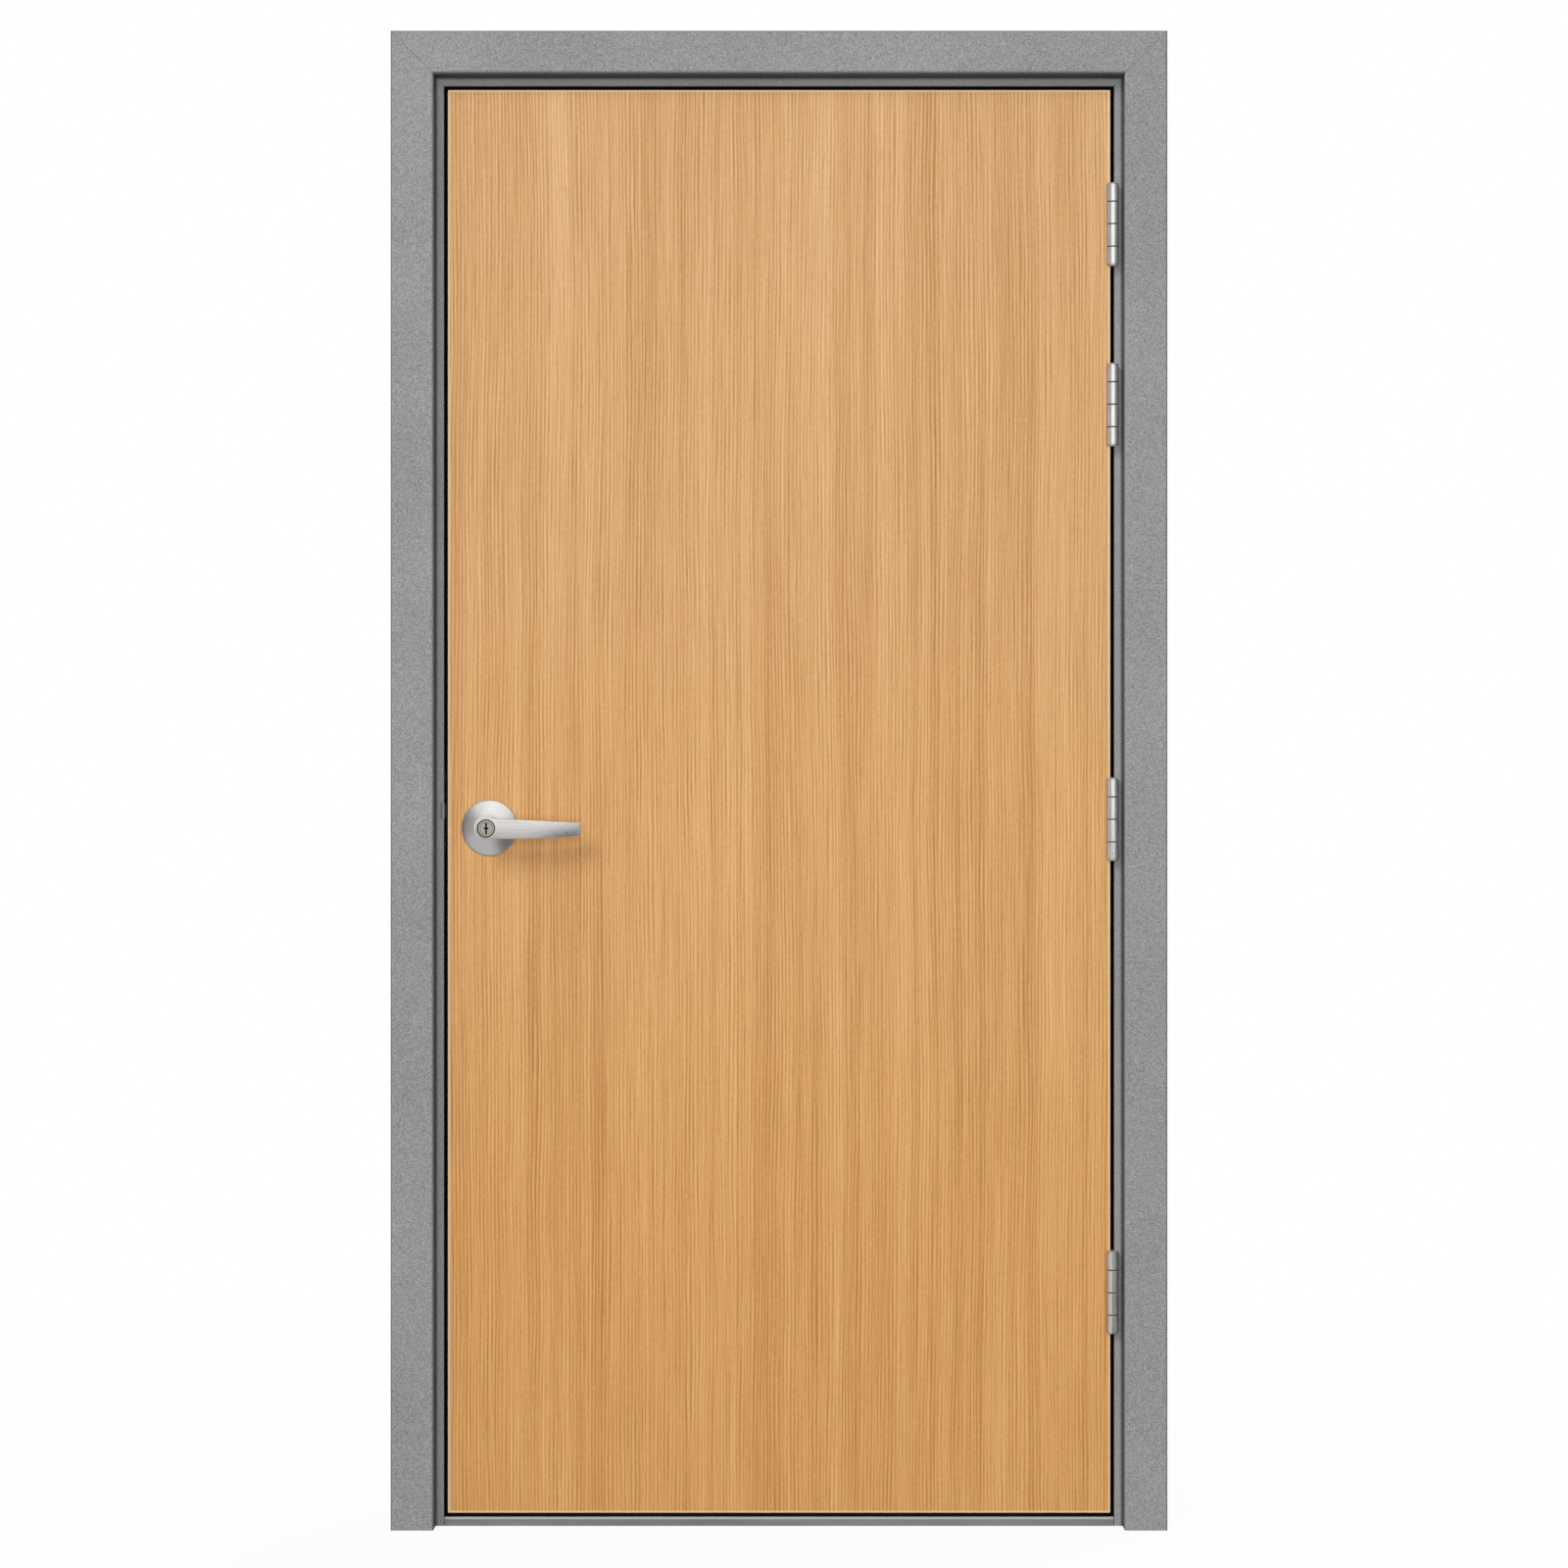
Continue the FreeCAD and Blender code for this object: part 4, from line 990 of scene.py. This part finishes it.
class UTILITY_DOOR_OT_screw_hinges(Operator):
    """Set four countersunk screws in each hinge plate"""

    bl_idname = "utility_door.screw_hinges"
    bl_label = "Screw Hinges"

    def execute(self, context):
        sizes = context.scene.door_screws
        for side, body, label in ((-1.0, "leaf", "door_plate"), (1.0, "frame", "frame_plate")):
            places = []
            for count, name in enumerate(HINGES):
                low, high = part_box(f"{name}_hinge_{label}")
                middle = (low + high) / 2
                face = middle.x + side * sizes.plate_offset
                rows = (
                    (sizes.wide_pitch, sizes.inner_row), (sizes.near_pitch, sizes.outer_row),
                    (-sizes.near_pitch, sizes.outer_row), (-sizes.wide_pitch, sizes.inner_row))
                for order, (rise, setback) in enumerate(rows):
                    point = Vector((face, high.y - setback, middle.z + rise))
                    turn = HINGE_TURN * count + ROW_TURN * order
                    places.append(facing(point, (-side, 0.0, 0.0), turn))
            screw_set(
                f"hinge_screws_{body}", places, sizes.head_radius, screw_metal(), body)
        return {"FINISHED"}


class UTILITY_DOOR_OT_screw_latch(Operator):
    """Set the screws of the strike and of the lock front"""

    bl_idname = "utility_door.screw_latch"
    bl_label = "Screw Latch"

    def execute(self, context):
        sizes = context.scene.door_screws
        low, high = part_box("strike_plate")
        front_low, front_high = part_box("lock_case")
        leaf_middle = (front_low.y + front_high.y) / 2
        middle = (low.z + high.z) / 2
        strike = []
        for side in (-1.0, 1.0):
            point = Vector((high.x, leaf_middle, middle + side * sizes.strike_pitch))
            strike.append(facing(point, (1.0, 0.0, 0.0), STRIKE_TURN * side))
        screw_set(
            "strike_screws", strike, sizes.small_radius, screw_metal(), "frame")
        skin_low, skin_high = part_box("rear_skin")
        lean = (skin_low.x - front_low.x) / (skin_high.y - front_low.y)
        face = front_low.x + lean * (leaf_middle - front_low.y)
        heights = (front_low.z + sizes.front_inset, front_high.z - sizes.front_inset)
        front = [
            facing(Vector((face, leaf_middle, height)), (-1.0, lean, 0.0), turn)
            for height, turn in zip(heights, FRONT_TURNS)]
        screw_set(
            "lock_front_screws", front, sizes.small_radius, screw_metal(), "leaf")
        return {"FINISHED"}


# Studio: where the lamps aim, the camera's sensor in millimetres, the lever's card as a share of
# the low cards' brightness, and the distances between which the floor's shadow fades.
LAMP_TARGET = Vector((0.0, 0.0, 1.05))
SENSOR_WIDTH = 36.0
LEVER_CARD_SHARE = 0.6
SHADOW_REACH = (2.4, 0.5)


class UTILITY_DOOR_OT_set_studio(Operator):
    """Set up the camera, lamps, white surround and floor"""

    bl_idname = "utility_door.set_studio"
    bl_label = "Set Studio"

    def execute(self, context):
        scene = context.scene
        look = scene.door_studio
        scene.view_settings.view_transform = "Standard"
        self.add_camera(scene, look)
        for name in ("key", "fill", "rear"):
            self.add_lamp(scene, look, name)
        self.add_surround(scene, look)
        self.add_floor(look)
        right, left, back = (1.0, 0.0, 0.0), (-1.0, 0.0, 0.0), (0.0, 1.0, 0.0)
        down, up = (0.0, 0.7, -0.7), (0.0, 0.0, 1.0)
        lever_card = LEVER_CARD_SHARE * look.floor_card
        for name, strength, place, normal, half in (
                ("left_card", look.left_card, (-3.6, -2.6, 1.2), right, (3.2, 2.6)),
                ("right_card", look.right_card, (2.9, -2.0, 0.9), left, (2.0, 2.6)),
                ("top_card", look.top_card, (-0.5, -3.2, 4.3), down, (0.8, 0.8)),
                ("left_rim_card", look.rim_card, (-3.2, -0.55, 1.1), right, (0.4, 1.1)),
                ("right_rim_card", look.rim_card, (3.0, -0.55, 1.1), left, (0.4, 1.1)),
                ("floor_card", look.floor_card, (0.85, -1.75, 0.003), up, (0.95, 1.25)),
                ("lever_card", lever_card, (0.38, -1.1, 0.66), back, (0.38, 0.28))):
            self.add_card(name, strength, facing(Vector(place), normal, 0.0), half)
        return {"FINISHED"}

    @staticmethod
    def add_camera(scene, look):
        """A level camera that looks along +Y."""
        data = bpy.data.cameras.new("door_camera")
        data.sensor_width = SENSOR_WIDTH
        data.lens = look.camera_lens
        camera = bpy.data.objects.new("door_camera", data)
        camera.location = look.camera_place
        camera.rotation_euler = (math.pi / 2, 0.0, 0.0)
        scene.collection.objects.link(camera)
        scene.camera = camera

    @staticmethod
    def add_lamp(scene, look, name):
        """A soft lamp that the metal doesn't mirror."""
        data = bpy.data.lights.new(f"{name}_lamp", "AREA")
        data.energy = getattr(look, f"{name}_power")
        data.size = getattr(look, f"{name}_size")
        lamp = bpy.data.objects.new(f"{name}_lamp", data)
        lamp.location = getattr(look, f"{name}_place")
        lamp.rotation_euler = (LAMP_TARGET - lamp.location).to_track_quat("-Z", "Y").to_euler()
        lamp.visible_glossy = False
        scene.collection.objects.link(lamp)

    @staticmethod
    def shown_rays(finish, shine):
        """1 for rays that show the background, a shine for those off metal, 0 for lighting ones."""
        path = finish.node("ShaderNodeLightPath")
        shown = Shade(finish, path.outputs["Is Camera Ray"])
        for name, share in (("Is Glossy Ray", shine), ("Is Transmission Ray", 1.0)):
            shown = finish.larger(shown, Shade(finish, path.outputs[name]) * share)
        return shown

    def add_surround(self, scene, look):
        """A world that shows white and lights softly."""
        world = bpy.data.worlds.new("white_surround")
        scene.world = world
        finish = Finish(world)
        strength = look.ambient + (1.0 - look.ambient) * self.shown_rays(finish, 1.0)
        light = finish.shade(
            "ShaderNodeBackground", None, {"Color": WHITE, "Strength": strength})
        finish.node("ShaderNodeOutputWorld", None, {"Surface": light})

    def add_floor(self, look):
        """A white floor with a faint shadow, grey to the light that it throws back."""
        mesh = bmesh.new()
        bmesh.ops.create_grid(mesh, x_segments=1, y_segments=1, size=look.floor_size)
        finish = new_finish("studio_floor")
        shown = self.shown_rays(finish, look.floor_shine)
        bounce = finish.shade("ShaderNodeBsdfDiffuse", None, {"Color": (*look.floor_bounce, 1.0)})
        white = finish.shade("ShaderNodeEmission", None, {"Color": WHITE, "Strength": 1.0})
        shaded = finish.shade("ShaderNodeBsdfDiffuse", None, {"Color": WHITE})
        near = finish.between(finish.length(finish.place()), *SHADOW_REACH)
        seen = finish.shade(
            "ShaderNodeMixShader", None, {0: near * look.floor_shadow, 1: white, 2: shaded})
        whole = finish.shade("ShaderNodeMixShader", None, {0: shown, 1: bounce, 2: seen})
        finish.node("ShaderNodeOutputMaterial", None, {"Surface": whole})
        floor = new_piece("studio_floor", mesh, finish.owner)

    @staticmethod
    def add_card(name, strength, place, half):
        """A card of half a width and half a height that only polished metal shows."""
        mesh = bmesh.new()
        bmesh.ops.create_grid(mesh, x_segments=1, y_segments=1, size=1.0)
        bmesh.ops.scale(mesh, verts=mesh.verts, vec=(*half, 1.0))
        bmesh.ops.transform(mesh, verts=mesh.verts, matrix=place)
        finish = new_finish(name)
        glow = finish.shade("ShaderNodeEmission", None, {"Color": WHITE, "Strength": strength})
        finish.node("ShaderNodeOutputMaterial", None, {"Surface": glow})
        card = new_piece(name, mesh, finish.owner)
        for rays in ("camera", "diffuse", "shadow", "transmission"):
            setattr(card, f"visible_{rays}", False)


OPERATORS = (
    UTILITY_DOOR_OT_coat_frame,
    UTILITY_DOOR_OT_veneer_leaf,
    UTILITY_DOOR_OT_finish_hinges,
    UTILITY_DOOR_OT_finish_lever_set,
    UTILITY_DOOR_OT_screw_hinges,
    UTILITY_DOOR_OT_screw_latch,
    UTILITY_DOOR_OT_set_studio,
)
SETTINGS = {
    "door_frame": FrameFinish,
    "door_veneer": VeneerFinish,
    "door_metal": MetalFinish,
    "door_screws": ScrewSizes,
    "door_studio": StudioSettings,
}


class UTILITY_DOOR_PT_panel(Panel):
    """The door's finishes, fittings and studio"""

    bl_idname = "UTILITY_DOOR_PT_panel"
    bl_label = "Utility Door"
    bl_space_type = "VIEW_3D"
    bl_region_type = "UI"
    bl_category = "Utility Door"

    def draw(self, context):
        for operator in OPERATORS:
            self.layout.operator(operator.bl_idname)
        for key in SETTINGS:
            group = getattr(context.scene, key)
            box = self.layout.box()
            box.label(text=group.bl_rna.name)
            for name in group.bl_rna.properties.keys():
                if name not in ("rna_type", "name"):
                    box.prop(group, name)


def register():
    """Add the settings, operators and panel to Blender."""
    for key, group in SETTINGS.items():
        bpy.utils.register_class(group)
        setattr(bpy.types.Scene, key, PointerProperty(type=group))
    for operator in OPERATORS:
        bpy.utils.register_class(operator)
    bpy.utils.register_class(UTILITY_DOOR_PT_panel)


def unregister():
    """Take them away again, last first."""
    bpy.utils.unregister_class(UTILITY_DOOR_PT_panel)
    for operator in reversed(OPERATORS):
        bpy.utils.unregister_class(operator)
    for key, group in reversed(list(SETTINGS.items())):
        delattr(bpy.types.Scene, key)
        bpy.utils.unregister_class(group)


def main():
    """Dress the door and set the studio."""
    register()
    bpy.ops.utility_door.coat_frame()
    bpy.ops.utility_door.veneer_leaf()
    bpy.ops.utility_door.finish_hinges()
    bpy.ops.utility_door.finish_lever_set()
    bpy.ops.utility_door.screw_hinges()
    bpy.ops.utility_door.screw_latch()
    bpy.ops.utility_door.set_studio()


if __name__ == "__main__":
    main()
